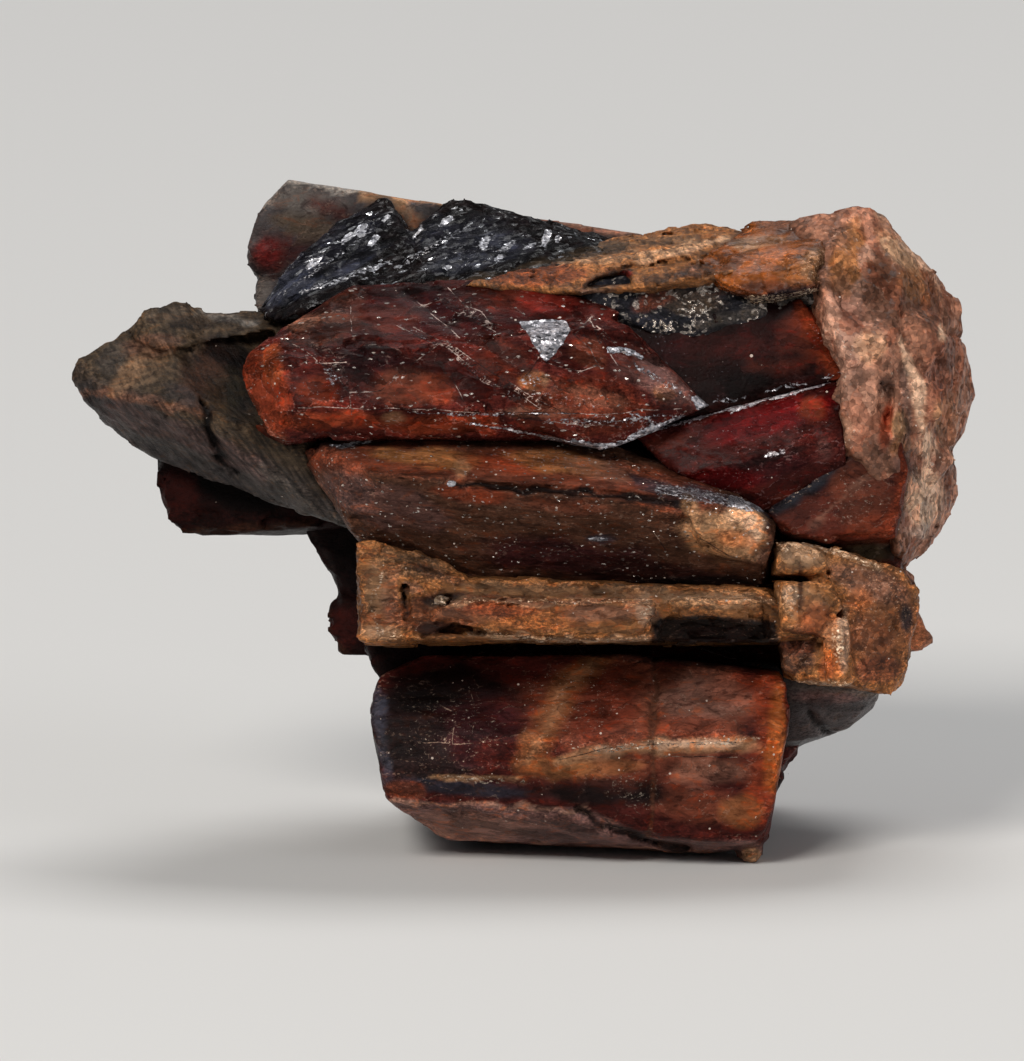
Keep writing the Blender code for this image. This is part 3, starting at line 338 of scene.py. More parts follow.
SAME_FACE_TURN = 0.9995  # how alike the normals of two triangles of one flat face are
SAME_FACE_STEP = 0.02
GAP_EDGE = 0.3  # how near to an edge the wall of a gap counts as
EDGE_TURN_DEG = 14  # faces that turn by less don't make an edge
BURIED_REACH = 1.2
RELIEF_FADE = (0.8, 0.25)  # how deep under other crystals the relief is gone, and starts to go
SHADE_FADE = (-0.7, 0.1)  # from where to where painted shade darkens the stone as it goes in among the others


def face_planes(corners):
    """Outward normals and offsets of the flat faces of the convex body with these corners."""
    shape = bmesh.new()
    for corner in corners:
        shape.verts.new(corner)
    bmesh.ops.convex_hull(shape, input=shape.verts)
    middle = Vector(np.mean(corners, axis=0))
    planes = []
    for face in shape.faces:
        normal = face.normal.copy()
        offset = normal.dot(face.verts[0].co)
        if normal.dot(middle) > offset:
            normal, offset = -normal, -offset
        if all(normal.dot(n) < SAME_FACE_TURN or abs(offset - o) > SAME_FACE_STEP for n, o in planes):
            planes.append((normal, offset))
    shape.free()
    normals = np.array([n[:] for n, _ in planes], np.float32)
    return normals, np.array([o for _, o in planes], np.float32)


def grain_corners(right, back, up, radius, rng):
    """Corners of one blocky grain, sunk towards the base's core: points spread over a ball."""
    inward = Vector((BASE_CORE_RIGHT - right, BASE_CORE_BACK - back)).normalized()
    right += inward.x * GRAIN_SINK
    back += inward.y * GRAIN_SINK
    golden_turn = math.pi * (3 - math.sqrt(5))
    first_turn = rng.uniform(0, math.tau)
    corners = []
    for i in range(GRAIN_CORNERS):
        height = 1 - 2 * (i + 0.5) / GRAIN_CORNERS
        ring = math.sqrt(1 - height * height)
        turn = first_turn + golden_turn * i
        reach = radius * (1 + rng.uniform(-GRAIN_ROUGHNESS, GRAIN_ROUGHNESS))
        ring *= reach
        corners.append((right + ring * math.cos(turn), back + ring * math.sin(turn), up + reach * height))
    return corners


class Crystal:
    """One convex crystal, with the gaps that are broken out of it."""

    def __init__(self, name, corners):
        self.name = name
        self.low = np.min(corners, axis=0)
        self.high = np.max(corners, axis=0)
        self.normals, self.offsets = face_planes(corners)
        gaps = [gap for owner, gap in BROKEN_OUT.values() if owner == name]
        self.gaps = [face_planes(grouped(gap, 3)) for gap in gaps]

    def depth_and_edge(self, points):
        """How far out of the crystal each point is, and how near it is to an edge between faces."""
        reach = points @ self.normals.T - self.offsets
        first = reach.argmax(axis=1)
        depth = reach[np.arange(len(points)), first]
        sharp = (self.normals @ self.normals.T)[first] < math.cos(math.radians(EDGE_TURN_DEG))
        edge = depth - np.where(sharp, reach, -FAR).max(axis=1)
        for normals, offsets in self.gaps:
            inside = -(points @ normals.T - offsets).max(axis=1)
            edge = np.where(inside > depth, GAP_EDGE, edge)
            depth = np.maximum(depth, inside)
        return depth, edge


def leaned(points):
    """Places in the photograph's view, in millimetres, as places in the model, in metres."""
    lean = np.array(Matrix.Rotation(math.radians(-LEAN_BACK_DEG), 3, "X"))
    return (points @ lean.T + np.array([0, -MIDDLE_BACK, FOOT_HEIGHT])) * MM


def above_foot(points):
    """Height of each point over the plane that the specimen rests on, in millimetres."""
    lean = math.radians(LEAN_BACK_DEG)
    return points[:, 2] * math.cos(lean) - points[:, 1] * math.sin(lean) + FOOT_HEIGHT


rng = random.Random(GRAIN_RNG_SEED)
crystals = {name: Crystal(name, grouped(corners, 3)) for name, corners in CRYSTALS.items()}
for number, grain in enumerate(GRAINS):
    name = f"grain_{number:02d}"
    crystals[name] = Crystal(name, grain_corners(*grain, rng))


HOLLOW_NARROWING = 0.85


def recess(pixels, front, back):
    """Faces of a hollow drawn on the photograph, from one depth to another, narrower inside."""
    outline = [((x - PIXEL_RIGHT) / PIXELS_PER_MM, (PIXEL_UP - y) / PIXELS_PER_MM)
               for x, y in grouped(pixels, 2)]
    middle = np.mean(outline, axis=0)
    inner = [middle + (np.array(point) - middle) * HOLLOW_NARROWING for point in outline]
    return face_planes([(u, front, v) for u, v in outline] + [(u, back, v) for u, v in inner])


# Hollows too small for the solids: the crystal, the outline in the photograph, and the depths
for owner, outline, front, back in (
    ("ledge_shelf", [664, 613, 700, 617, 774, 613, 778, 644, 650, 644, 655, 626], -3.5, 0.8),
    ("ledge_shelf", [440, 626, 462, 619, 492, 630, 488, 637, 415, 637], -3.5, -0.6),
    ("ledge_shelf", [424, 596, 448, 594, 456, 600, 450, 608, 422, 609], -3.5, -0.3),
    ("ledge_left_block", [401, 580, 408, 580, 414, 624, 404, 626], -3.5, -0.9),
    ("middle_lath", [452, 480, 600, 489, 690, 499, 690, 502, 600, 494, 452, 486], -5.0, -3.2),
):
    crystals[owner].gaps.append(recess(outline, front, back))


def buried(points, members):
    """How deep each point lies under the surfaces of the crystals that aren't in this piece."""
    low, high = points.min(axis=0), points.max(axis=0)
    outside = np.full(len(points), FAR, np.float32)
    for crystal in crystals.values():
        if crystal.name in members or (crystal.low > high).any() or (crystal.high < low).any():
            continue
        near = points > crystal.low - BURIED_REACH
        near = (near & (points < crystal.high + BURIED_REACH)).all(axis=1)
        if near.any():
            depth, _ = crystal.depth_and_edge(points[near])
            outside[near] = np.minimum(outside[near], depth)
    return -outside


def photo_place(points):
    """The photograph's pixel that each point shows at."""
    return PIXEL_RIGHT + PIXELS_PER_MM * points[:, 0], PIXEL_UP - PIXELS_PER_MM * points[:, 2]


def to_stretch(across, down, start, end):
    """Pixels from each place to a straight stretch, and to its whole line, less than 0 on one side."""
    run_x, run_y = end[0] - start[0], end[1] - start[1]
    across, down = across - start[0], down - start[1]
    along = np.clip((across * run_x + down * run_y) / (run_x**2 + run_y**2), 0, 1)
    away = np.hypot(across - along * run_x, down - along * run_y)
    return away, (across * run_y - down * run_x) / math.hypot(run_x, run_y)


def near_line(points, line, wander, seed):
    """Distance in pixels from each point to a wandering line drawn on the photograph."""
    across, down = photo_place(points)
    across = across + wander * smooth_noise(points * 1.3, seed)
    down = down + wander * smooth_noise(points * 1.3, seed + 1)
    best = np.full(len(points), np.inf, np.float32)
    line = grouped(line, 2)
    for start, end in zip(line, line[1:]):
        best = np.minimum(best, to_stretch(across, down, start, end)[0])
    return best


NOISE_LAYERS = {"swell": 2, "rough": 3}


def relief(points, edge, layers, seed):
    """How far the surface stands out at each point, in millimetres."""
    height = np.zeros(len(points), np.float32)
    for number, (kind, size, scale, *lean) in enumerate(layers):
        at = turned(points, lean[0] if lean else 0) * np.array(scale, np.float32)
        number = seed + 40 * number
        if kind in NOISE_LAYERS:
            height += size * layered_noise(at, number, NOISE_LAYERS[kind])
        elif kind == "laths":
            level = at.sum(axis=1) + 0.6 * smooth_noise(points * 0.35, number)
            whole = np.floor(level)
            cell = np.stack([whole, whole * 0, whole * 0], axis=1).astype(np.int32)
            height += size * (hashed(cell, number) - 0.5 + 0.5 * (level - whole))
        elif kind == "grains":
            nearest, _, own = grain_noise(at, number)
            height += size * (0.55 - nearest + 0.5 * own[:, 0])
        elif kind == "facets":
            _, way, own = grain_noise(at + 0.15 * smooth_noise(at * 2, number)[:, None], number)
            slope = (way * (own - 0.5)).sum(axis=1)
            height += size * (own[:, 0] - 0.5 + 2.4 * slope)
        elif kind == "chips":
            _, way, own = grain_noise(at, number)
            slope = 0.5 * (way * (own - 0.5)).sum(axis=1)
            height -= size * ramp(edge, 0.4, 0.0) * np.clip(own[:, 0] - 0.35 + slope, 0, 1)
    return height


def planes_depth(right, back, up, normals, offsets):
    """Distance out of the body with these faces, on the grid of these three axes."""
    depth = np.full((len(right), len(back), len(up)), -np.inf, np.float32)
    for (x, y, z), offset in zip(normals, offsets):
        flat = (x * right)[:, None, None] + (y * back)[None, :, None]
        np.maximum(depth, flat + (z * up - offset)[None, None, :], out=depth)
    return depth


GROOVE_WANDER = 3.0


class Piece:
    """Crystals that show as one: a closed mesh with its relief and its markings."""

    def __init__(self, name, members, voxel, layers, seed, grooves, behind):
        self.name = name
        self.members = members
        self.voxel = voxel * COARSER
        self.layers = layers
        self.seed = seed
        self.grooves = grooves
        self.behind = behind

    def field(self):
        """Signed distance on a grid, with the relief added near the surface."""
        parts = [crystals[name] for name in self.members]
        low = np.min([part.low for part in parts], axis=0) - BAND
        high = np.max([part.high for part in parts], axis=0) + BAND
        counts = np.ceil((high - low) / self.voxel).astype(int) + 1
        axes = [(low[i] + self.voxel * np.arange(counts[i])).astype(np.float32) for i in range(3)]
        field = np.full(counts, BAND * 2, np.float32)
        for part in parts:
            first = np.maximum(((part.low - BAND - low) / self.voxel).astype(int), 0)
            last = np.minimum(((part.high + BAND - low) / self.voxel).astype(int) + 2, counts)
            box = tuple(slice(a, b) for a, b in zip(first, last))
            right, back, up = (axes[i][box[i]] for i in range(3))
            depth = planes_depth(right, back, up, part.normals, part.offsets)
            for normals, offsets in part.gaps:
                np.maximum(depth, -planes_depth(right, back, up, normals, offsets), out=depth)
            field[box] = np.minimum(field[box], depth)
        near = np.nonzero(np.abs(field) < RELIEF_REACH + self.voxel * 1.8)
        points = np.stack([axes[i][near[i]] for i in range(3)], axis=1)
        depth, edge = self.depth_and_edge(points)
        shown = ramp(buried(points, self.members), *RELIEF_FADE)
        live = shown > 0
        height = np.zeros(len(points), np.float32)
        height[live] = relief(points[live], edge[live], self.layers, self.seed) * shown[live]
        for number, (line, width, deep) in enumerate(self.grooves):
            away = near_line(points, line, GROOVE_WANDER, self.seed + number) / width
            height -= deep * np.exp(-away * away) * shown * self.marked(points)
        value = depth - np.clip(height, -RELIEF_REACH, RELIEF_REACH)
        field[near] = np.maximum(value, -above_foot(points))
        np.clip(field, -BAND * 2, BAND * 2, out=field)
        return field, low

    def depth_and_edge(self, points):
        """Distance out of the nearest member and nearness to one of its edges."""
        depth = np.full(len(points), FAR, np.float32)
        edge = np.full(len(points), FAR, np.float32)
        for name in self.members:
            part = crystals[name]
            near = ((points > part.low - 2 * BAND) & (points < part.high + 2 * BAND)).all(axis=1)
            if not near.any():
                continue
            here, turn = part.depth_and_edge(points[near])
            closer = here < depth[near]
            edge[near] = np.where(closer, turn, edge[near])
            depth[near] = np.minimum(depth[near], here)
        return depth, edge

    def marked(self, points):
        """How much each point is on the side that the marks are on: the front, or behind."""
        back = points[:, 1]
        inward = back.max() - back if self.behind else back - back.min()
        return ramp(inward, MARKS_REACH + MARKS_FADE, MARKS_REACH - MARKS_FADE)

    def build(self):
        """The piece's mesh object, in the model's place."""
        field, low = self.field()
        grid = openvdb.FloatGrid(BAND * 2)
        grid.copyFromArray(field)
        points, tris, quads = grid.convertToPolygons(isovalue=0.0, adaptivity=FLAT_MERGED)
        points = points.astype(np.float32) * self.voxel + low.astype(np.float32)
        corners = np.concatenate([quads[:, ::-1].ravel(), tris[:, ::-1].ravel()]).astype(np.int32)
        starts = [np.arange(len(quads)) * 4, len(quads) * 4 + np.arange(len(tris)) * 3]
        mesh = bpy.data.meshes.new(self.name)
        mesh.vertices.add(len(points))
        mesh.vertices.foreach_set("co", leaned(points).astype(np.float32).ravel())
        mesh.loops.add(len(corners))
        mesh.loops.foreach_set("vertex_index", corners)
        mesh.polygons.add(len(quads) + len(tris))
        mesh.polygons.foreach_set("loop_start", np.concatenate(starts).astype(np.int32))
        mesh.update(calc_edges=True)
        mesh.validate()
        mesh.shade_smooth()
        piece = bpy.data.objects.new(self.name, mesh)
        bpy.context.scene.collection.objects.link(piece)
        return piece, points.astype(np.float32)


# Colours and markings

# Colours as they show in the photograph, from 0 to 255
PALETTE = {
    "pitch": (14, 9, 9), "soot": (26, 20, 20), "ink": (36, 36, 44), "steel": (66, 68, 80),
    "slate": (62, 56, 56), "ash": (98, 90, 84), "pale": (148, 140, 132),
    "umber": (70, 44, 32), "olive": (88, 72, 56), "moss": (62, 54, 30), "tan": (156, 118, 86),
    "sand": (196, 154, 120), "ochre": (146, 96, 56), "amber": (170, 94, 40), "flame": (196, 112, 60),
    "ember": (132, 56, 32), "rust": (104, 54, 38), "brick": (90, 38, 26), "garnet": (64, 24, 20),
    "blood": (112, 16, 18), "wine": (46, 18, 20), "oxblood": (36, 15, 13), "rosewood": (78, 54, 50),
    "mauve": (98, 72, 68), "clay": (136, 96, 78), "blush": (172, 130, 110), "cream": (206, 172, 146),
}
PAINT_GAIN = 0.95

# How soft and how ragged marks are: ovals as a share of their size, the rest in pixels
OVAL_EDGE = (1.25, 0.7)
OVAL_WOBBLE = 0.35
PLATE_EDGE = 2.0
MARK_WOBBLE = 2.0
STROKE_CORE = 0.35
FLAKE_CORE = 0.5
EDGE_LIGHTENED = (0.45, 0.05)  # nearness to an edge at which its pale chipping and painted highlight start, and are full

# How far lines on the surface wander from where they are drawn, in pixels
STROKE_WANDER = 5.0
FLAKE_WANDER = 2.0
CRACK_WANDER = 1.6
CRACK_UNIT = 10  # pixels to the unit that the distance to a crack is kept in


def colour(name):
    """A palette colour as light, with the gain that the photograph's dark exposure needs."""
    parts = [c / 255 for c in PALETTE[name]]
    parts = [c / 12.92 if c <= 0.04045 else ((c + 0.055) / 1.055) ** 2.4 for c in parts]
    return np.array([c * PAINT_GAIN for c in parts], np.float32)


def patch(points, wobble, x, y, wide, high, turn=0.0):
    """How much each point is in a soft-edged oval drawn on the photograph."""
    across, down = photo_place(points)
    c, s = math.cos(math.radians(turn)), math.sin(math.radians(turn))
    along = ((across - x) * c + (down - y) * s) / wide
    over = ((down - y) * c - (across - x) * s) / high
    return ramp(np.sqrt(along**2 + over**2) + OVAL_WOBBLE * wobble, *OVAL_EDGE)


def plate(points, wobble, corners):
    """How much each point is in a straight-sided plate drawn on the photograph, clockwise."""
    across, down = photo_place(points)
    out = np.full(len(points), -np.inf, np.float32)
    corners = grouped(corners, 2)
    for start, end in zip(corners, corners[1:] + corners[:1]):
        out = np.maximum(out, to_stretch(across, down, start, end)[1])
    return ramp(out + MARK_WOBBLE * wobble, PLATE_EDGE, -PLATE_EDGE)


def painted(points, base, strokes, seed, shown):
    """The base colour with the strokes laid over it in order."""
    tint = np.tile(colour(base), (len(points), 1))
    wobble = layered_noise(points * np.array([0.7, 0.9, 0.9], np.float32), seed, 4)
    for name, strength, *shape in strokes:
        if not isinstance(shape[0], list):
            weight = patch(points, wobble, *shape)
        elif len(shape) == 1:
            weight = plate(points, wobble, shape[0])
        else:
            away = near_line(points, shape[0], STROKE_WANDER, seed) + MARK_WOBBLE * wobble
            weight = ramp(away, shape[1], shape[1] * STROKE_CORE)
        weight = (weight * shown * strength)[:, None]
        tint = tint * (1 - weight) + colour(name) * weight
    return tint


def flake_and_glint_cover(points, wobble, seed, flake_and_glint):
    """How much of each point one group of bright marks covers, real flaking in some groups and painted
    glints in others.
    """
    if isinstance(flake_and_glint, list):
        return plate(points, wobble, flake_and_glint)
    if not isinstance(flake_and_glint[0], list):
        return patch(points, wobble, *flake_and_glint[:5]) * (flake_and_glint[5] if len(flake_and_glint) > 5 else 1.0)
    line, width, share = flake_and_glint
    if not width:
        return plate(points, wobble, line) * share
    away = near_line(points, line, FLAKE_WANDER, seed) + wobble
    return ramp(away, width, width * FLAKE_CORE) * share


def surface_values(points, piece, flakes_and_glints, cracks):
    """Four numbers for each point: bright marks of real flaking and of painted glints, signed and plain
    distance to a crack, and edge.
    """
    _, edge = piece.depth_and_edge(points)
    values = np.zeros((len(points), 4), np.float32)
    wobble = layered_noise(points * 1.6, piece.seed + 7, 3)
    shown = piece.marked(points)
    for flake_and_glint in flakes_and_glints:
        cover = flake_and_glint_cover(points, wobble, piece.seed + 11, flake_and_glint) * shown
        values[:, 0] = np.maximum(values[:, 0], cover)
    values[:, 1:3] = 1.0
    across, down = photo_place(points)
    across = across + CRACK_WANDER * smooth_noise(points * 1.2, piece.seed + 3)
    down = down + CRACK_WANDER * smooth_noise(points * 1.2, piece.seed + 4)
    for line in cracks:
        line = grouped(line, 2)
        for start, end in zip(line, line[1:]):
            plain, signed = to_stretch(across, down, start, end)
            closer = plain / CRACK_UNIT < values[:, 2]
            values[:, 1] = np.where(closer, signed / CRACK_UNIT, values[:, 1])
            values[:, 2] = np.where(closer, plain / CRACK_UNIT, values[:, 2])
    values[:, 3] = ramp(edge, *EDGE_LIGHTENED)
    return values


def set_colours(mesh, name, values):
    """Store four numbers a vertex as a colour attribute."""
    layer = mesh.color_attributes.new(name, "FLOAT_COLOR", "POINT")
    layer.data.foreach_set("color", values.astype(np.float32).ravel())


# The stone's fixed numbers: a lean in degrees, scales to the millimetre, colours as light
HATCH_LEAN = -58
HATCH_SCALE = (0.5, 2.0, 5.0)
BLOCK_BEND = 0.9
BLOCK_BEND_SCALE = 1.3
CRUMB_SIZE = 0.14
CRUMB_TONE = (0.55, 0.44, 0.37)
DARK_SEAM = (0.004, 0.002, 0.002)
DARK_CRACK = (0.01, 0.005, 0.005)
CLOUD_SCALE = (0.66, 1.1, 1.1)
DRIFT_SCALE = (0.99, 1.87, 1.87)
GLINT_METAL = 0.85
FLAKE_METAL = 0.45
FLAKE_ROUGHNESS = 0.22
STONE_IOR = 1.6


class Graph:
    """A material's node tree, with short calls for the nodes that the stone needs."""

    def __init__(self, name):
        self.material = bpy.data.materials.new(name)
        self.material.use_nodes = True
        self.tree = self.material.node_tree
        self.shader = self.tree.nodes["Principled BSDF"]
        coordinates = self.node("ShaderNodeTexCoord")
        scaled = self.node("ShaderNodeVectorMath", operation="SCALE")
        self.tree.links.new(coordinates.outputs["Object"], scaled.inputs[0])
        scaled.inputs["Scale"].default_value = 1 / MM
        self.place = scaled.outputs[0]

    def node(self, kind, **settings):
        made = self.tree.nodes.new(kind)
        for key, value in settings.items():
            setattr(made, key, value)
        return made

    def put(self, socket, value):
        if isinstance(value, bpy.types.NodeSocket):
            self.tree.links.new(value, socket)
        else:
            socket.default_value = value

    def math(self, operation, first, second=0.0, third=0.0):
        made = self.node("ShaderNodeMath", operation=operation)
        for socket, value in zip(made.inputs, (first, second, third)):
            self.put(socket, value)
        return made.outputs[0]

    def vector(self, operation, first, second=(0, 0, 0), scale=None):
        made = self.node("ShaderNodeVectorMath", operation=operation)
        self.put(made.inputs[0], first)
        self.put(made.inputs[1], second)
        if scale is not None:
            self.put(made.inputs["Scale"], scale)
        return made.outputs["Value"] if operation == "DOT_PRODUCT" else made.outputs[0]

    def span(self, value, low, high, to_low=0.0, to_high=1.0):
        made = self.node("ShaderNodeMapRange", interpolation_type="SMOOTHSTEP")
        for key, number in (("Value", value), ("From Min", low), ("From Max", high)):
            self.put(made.inputs[key], number)
        made.inputs["To Min"].default_value = to_low
        made.inputs["To Max"].default_value = to_high
        return made.outputs[0]

    def stretched(self, scale):
        return self.vector("MULTIPLY", self.place, scale)

    def times(self, first, second):
        return self.math("MULTIPLY", first, second)

    def tinted(self, tint, by):
        return self.vector("MULTIPLY", tint, by)

    def shaded(self, tint, value, low, high, darkest, lightest):
        """The tint, darker where the value is low and lighter where it is high."""
        return self.vector("SCALE", tint, scale=self.span(value, low, high, darkest, lightest))

    def texture(self, kind, at, detail=None, rough=None, bend=None, **settings):
        """A texture node with one cell or swell to the unit."""
        made = self.node(kind, **settings)
        self.put(made.inputs["Vector"], at)
        made.inputs["Scale"].default_value = 1.0
        for key, value in (("Detail", detail), ("Roughness", rough), ("Distortion", bend)):
            if value is not None:
                made.inputs[key].default_value = value
        return made

    def noise(self, scale, detail=4.0, rough=0.7, bend=0.0):
        return self.texture("ShaderNodeTexNoise", self.stretched(scale), detail, rough, bend).outputs["Fac"]

    def mix(self, weight, first, second):
        made = self.node("ShaderNodeMix", data_type="RGBA")
        self.put(made.inputs["Factor"], weight)
        for socket, value in ((made.inputs[6], first), (made.inputs[7], second)):
            self.put(socket, (*value, 1.0) if isinstance(value, tuple) else value)
        return made.outputs[2]

    def parts(self, value):
        made = self.node("ShaderNodeSeparateColor")
        self.put(made.inputs[0], value)
        return made.outputs[0], made.outputs[1], made.outputs[2]

    def turned(self, lean, scale):
        """Places turned about the viewing direction by so many degrees, and then scaled."""
        made = self.node("ShaderNodeMapping", vector_type="POINT")
        self.put(made.inputs["Vector"], self.place)
        made.inputs["Rotation"].default_value = (0, math.radians(lean), 0)
        return self.vector("MULTIPLY", made.outputs[0], scale)

    def scratches(self):
        """Fine lines that run down to the left, as cleavage leaves them."""
        at = self.turned(HATCH_LEAN, HATCH_SCALE)
        return self.texture("ShaderNodeTexNoise", at, 4.0).outputs["Fac"]

    def facets(self, scale, tilt, lean):
        """Flat chips, each tilted its own way: their height in millimetres and numbers for each."""
        at = self.turned(lean, scale)
        made = self.texture("ShaderNodeTexVoronoi", at)
        away = self.vector("SUBTRACT", at, made.outputs["Position"])
        slope = self.vector("SUBTRACT", made.outputs["Color"], (0.5, 0.5, 0.5))
        size = 2.0 * tilt / max(scale)
        return self.times(self.vector("DOT_PRODUCT", away, slope), size), self.parts(made.outputs["Color"])

    def blocks(self, scale, lean):
        """Angular blocks: two numbers for each, and how near each place is to where two meet."""
        bend = self.texture("ShaderNodeTexNoise", self.place, 3.0)
        bend.inputs["Scale"].default_value = BLOCK_BEND_SCALE
        push = self.vector("SUBTRACT", bend.outputs["Color"], (0.5, 0.5, 0.5))
        push = self.vector("SCALE", push, scale=BLOCK_BEND)
        at = self.vector("ADD", self.turned(lean, scale), push)
        cell = self.texture("ShaderNodeTexVoronoi", at)
        border = self.texture("ShaderNodeTexVoronoi", at, feature="DISTANCE_TO_EDGE")
        return *self.parts(cell.outputs["Color"])[:2], border.outputs["Distance"]

    def crumbs(self, scale, share):
        """Small round crumbs, on a share of the places."""
        dust = self.texture("ShaderNodeTexVoronoi", self.stretched((scale,) * 3))
        chance, size, _ = self.parts(dust.outputs["Color"])
        spot = self.math("LESS_THAN", dust.outputs["Distance"], self.times(size, CRUMB_SIZE))
        return self.times(spot, self.math("LESS_THAN", chance, share))


def stone(name, *, rough=0.35, shine=0.12, mottle=(0.6, 1.4), warm=(1.2, 0.95, 0.8),
          dark=(0.5, 0.45, 0.45), grain=0.25, grain_scale=(5, 8, 8), streak=0.0, streak_scale=(0.5, 6, 6),
          hatch=0.0, bump=0.03, domains=0.0, domain_scale=(0.6, 1.8, 1.8), domain_lean=0.0, tones=None,
          seams=0.5, facet=0.0, facet_scale=(2.5, 4, 4), facet_lean=0.0, sparkle=0.0,
          sparkle_scale=(6, 6, 6), glint_tone=(0.75, 0.68, 0.62), flaked_and_glinting=False,
          flake_and_glint_tones=((0.06, 0.06, 0.07), (0.5, 0.49, 0.53)), cracked=False,
          crack_tone=(0.3, 0.2, 0.15), edge_wear_and_highlight=0.55, specks=0.1, speck_scale=2.4):
    """A procedural stone material over the mesh's own tint."""
    g = Graph(name)
    tint = g.node("ShaderNodeAttribute", attribute_name="tint").outputs["Color"]
    surface = g.node("ShaderNodeAttribute", attribute_name="surface")
    flake_and_glint, signed, plain = g.parts(surface.outputs["Color"])

    # Clouds of lighter, warmer and darker stone
    cloud = g.noise(CLOUD_SCALE, 5.0, 0.65, 0.6)
    tint = g.shaded(tint, cloud, 0.3, 0.7, *mottle)
    drift = g.noise(DRIFT_SCALE, 4.0, 0.6, 1.2)
    tint = g.mix(g.span(drift, 0.52, 0.68), tint, g.tinted(tint, warm))
    tint = g.mix(g.span(drift, 0.46, 0.32), tint, g.tinted(tint, dark))

    # Grain, streaks and scratches
    fine = g.noise(grain_scale)
    tint = g.shaded(tint, fine, 0.28, 0.72, 1 - grain, 1 + grain)
    height = g.times(fine, bump * 3.0)
    if streak:
        lines = g.noise(streak_scale)
        tint = g.shaded(tint, lines, 0.32, 0.68, 1 - streak, 1 + streak)
        height = g.math("MULTIPLY_ADD", lines, bump * 1.5, height)
    if hatch:
        scored = g.scratches()
        tint = g.shaded(tint, scored, 0.35, 0.65, 1 - hatch, 1 + hatch)
        height = g.math("MULTIPLY_ADD", scored, bump * 2.0, height)
    roughness = g.span(fine, 0.25, 0.75, max(rough - 0.14, 0.04), min(rough + 0.16, 1.0))

    # Blocks between cleavages, each of its own shade, with thin lines where they meet
    if domains:
        shade, tone, seam = g.blocks(domain_scale, domain_lean)
        tint = g.shaded(tint, shade, 0.0, 1.0, 1 - domains, 1 + domains * 1.2)
        height = g.math("MULTIPLY_ADD", shade, 0.05, height)
        seam = g.times(g.span(seam, 0.05, 0.015), g.span(cloud, 0.42, 0.56))
        if tones:
            tint = g.mix(g.span(tone, 0.55, 0.6), tint, g.tinted(tint, tones[0]))
            tint = g.mix(g.span(tone, 0.3, 0.25), tint, g.tinted(tint, tones[1]))
        lit = g.math("GREATER_THAN", fine, 0.53)
        tint = g.mix(g.times(seam, seams), tint, g.mix(lit, DARK_SEAM, crack_tone))

    # Small flat faces, and among them a few that glint
    if facet:
        tilted, chances = g.facets(facet_scale, facet, facet_lean)
        height = g.math("ADD", height, tilted)
        tint = g.shaded(tint, chances[2], 0.0, 1.0, 0.62, 1.45)
    metallic = 0.0
    if sparkle:
        glint, chances = g.facets(sparkle_scale, 1.2, facet_lean)
        lit = g.math("GREATER_THAN", chances[0], 1 - sparkle)
        lit = g.times(lit, g.span(cloud, 0.42, 0.58))
        height = g.math("MULTIPLY_ADD", glint, lit, height)
        tint = g.mix(g.times(lit, 0.8), tint, glint_tone)
        metallic = g.times(lit, GLINT_METAL)
        roughness = g.times(roughness, g.math("MULTIPLY_ADD", lit, -0.5, 1.0))

    # Bright marks, real flaking in some places and painted glints in others, and cracks where the mesh's
    # own values put them
    if flaked_and_glinting:
        shiny, chances = g.facets((5, 8, 8), 0.7, facet_lean)
        bare = g.math("MULTIPLY_ADD", g.math("SUBTRACT", fine, 0.5), 0.7, flake_and_glint)
        bare = g.span(bare, 0.42, 0.5)
        height = g.math("MULTIPLY_ADD", shiny, bare, height)
        tint = g.mix(bare, tint, g.mix(chances[0], *flake_and_glint_tones))
        roughness = g.mix(bare, roughness, (FLAKE_ROUGHNESS,) * 3)
        metallic = g.math("MAXIMUM", metallic, g.times(bare, FLAKE_METAL))
    if cracked:
        width = g.span(fine, 0.35, 0.7, 0.015, 0.075)
        crack = g.math("LESS_THAN", g.math("ABSOLUTE", signed), width)
        crack = g.times(crack, g.math("LESS_THAN", plain, 0.25))
        crack_colour = g.mix(g.span(cloud, 0.45, 0.6), DARK_CRACK, crack_tone)
        tint = g.mix(g.times(crack, 0.85), tint, crack_colour)

    # Edges are lightened, partly as pale chips and partly as a painted highlight, and crumbs of pale
    # mineral lie on the surface
    worn_and_lit = g.times(surface.outputs["Alpha"], g.span(fine, 0.45, 0.62))
    tint = g.mix(g.times(worn_and_lit, edge_wear_and_highlight), tint, g.tinted(tint, (2.4, 2.2, 2.0)))
    spot = g.times(g.crumbs(speck_scale, specks), g.math("GREATER_THAN", drift, 0.48))
    tint = g.mix(spot, tint, CRUMB_TONE)
    roughness = g.math("MAXIMUM", roughness, g.times(spot, 0.5))

    raised = g.node("ShaderNodeBump")
    raised.inputs["Distance"].default_value = MM
    raised.inputs["Strength"].default_value = 1.0
    g.put(raised.inputs["Height"], height)
    for key, value in (("Base Color", tint), ("Roughness", roughness), ("Metallic", metallic),
                       ("IOR", STONE_IOR), ("Specular IOR Level", shine), ("Normal", raised.outputs[0])):
        g.put(g.shader.inputs[key], value)
    return g.material
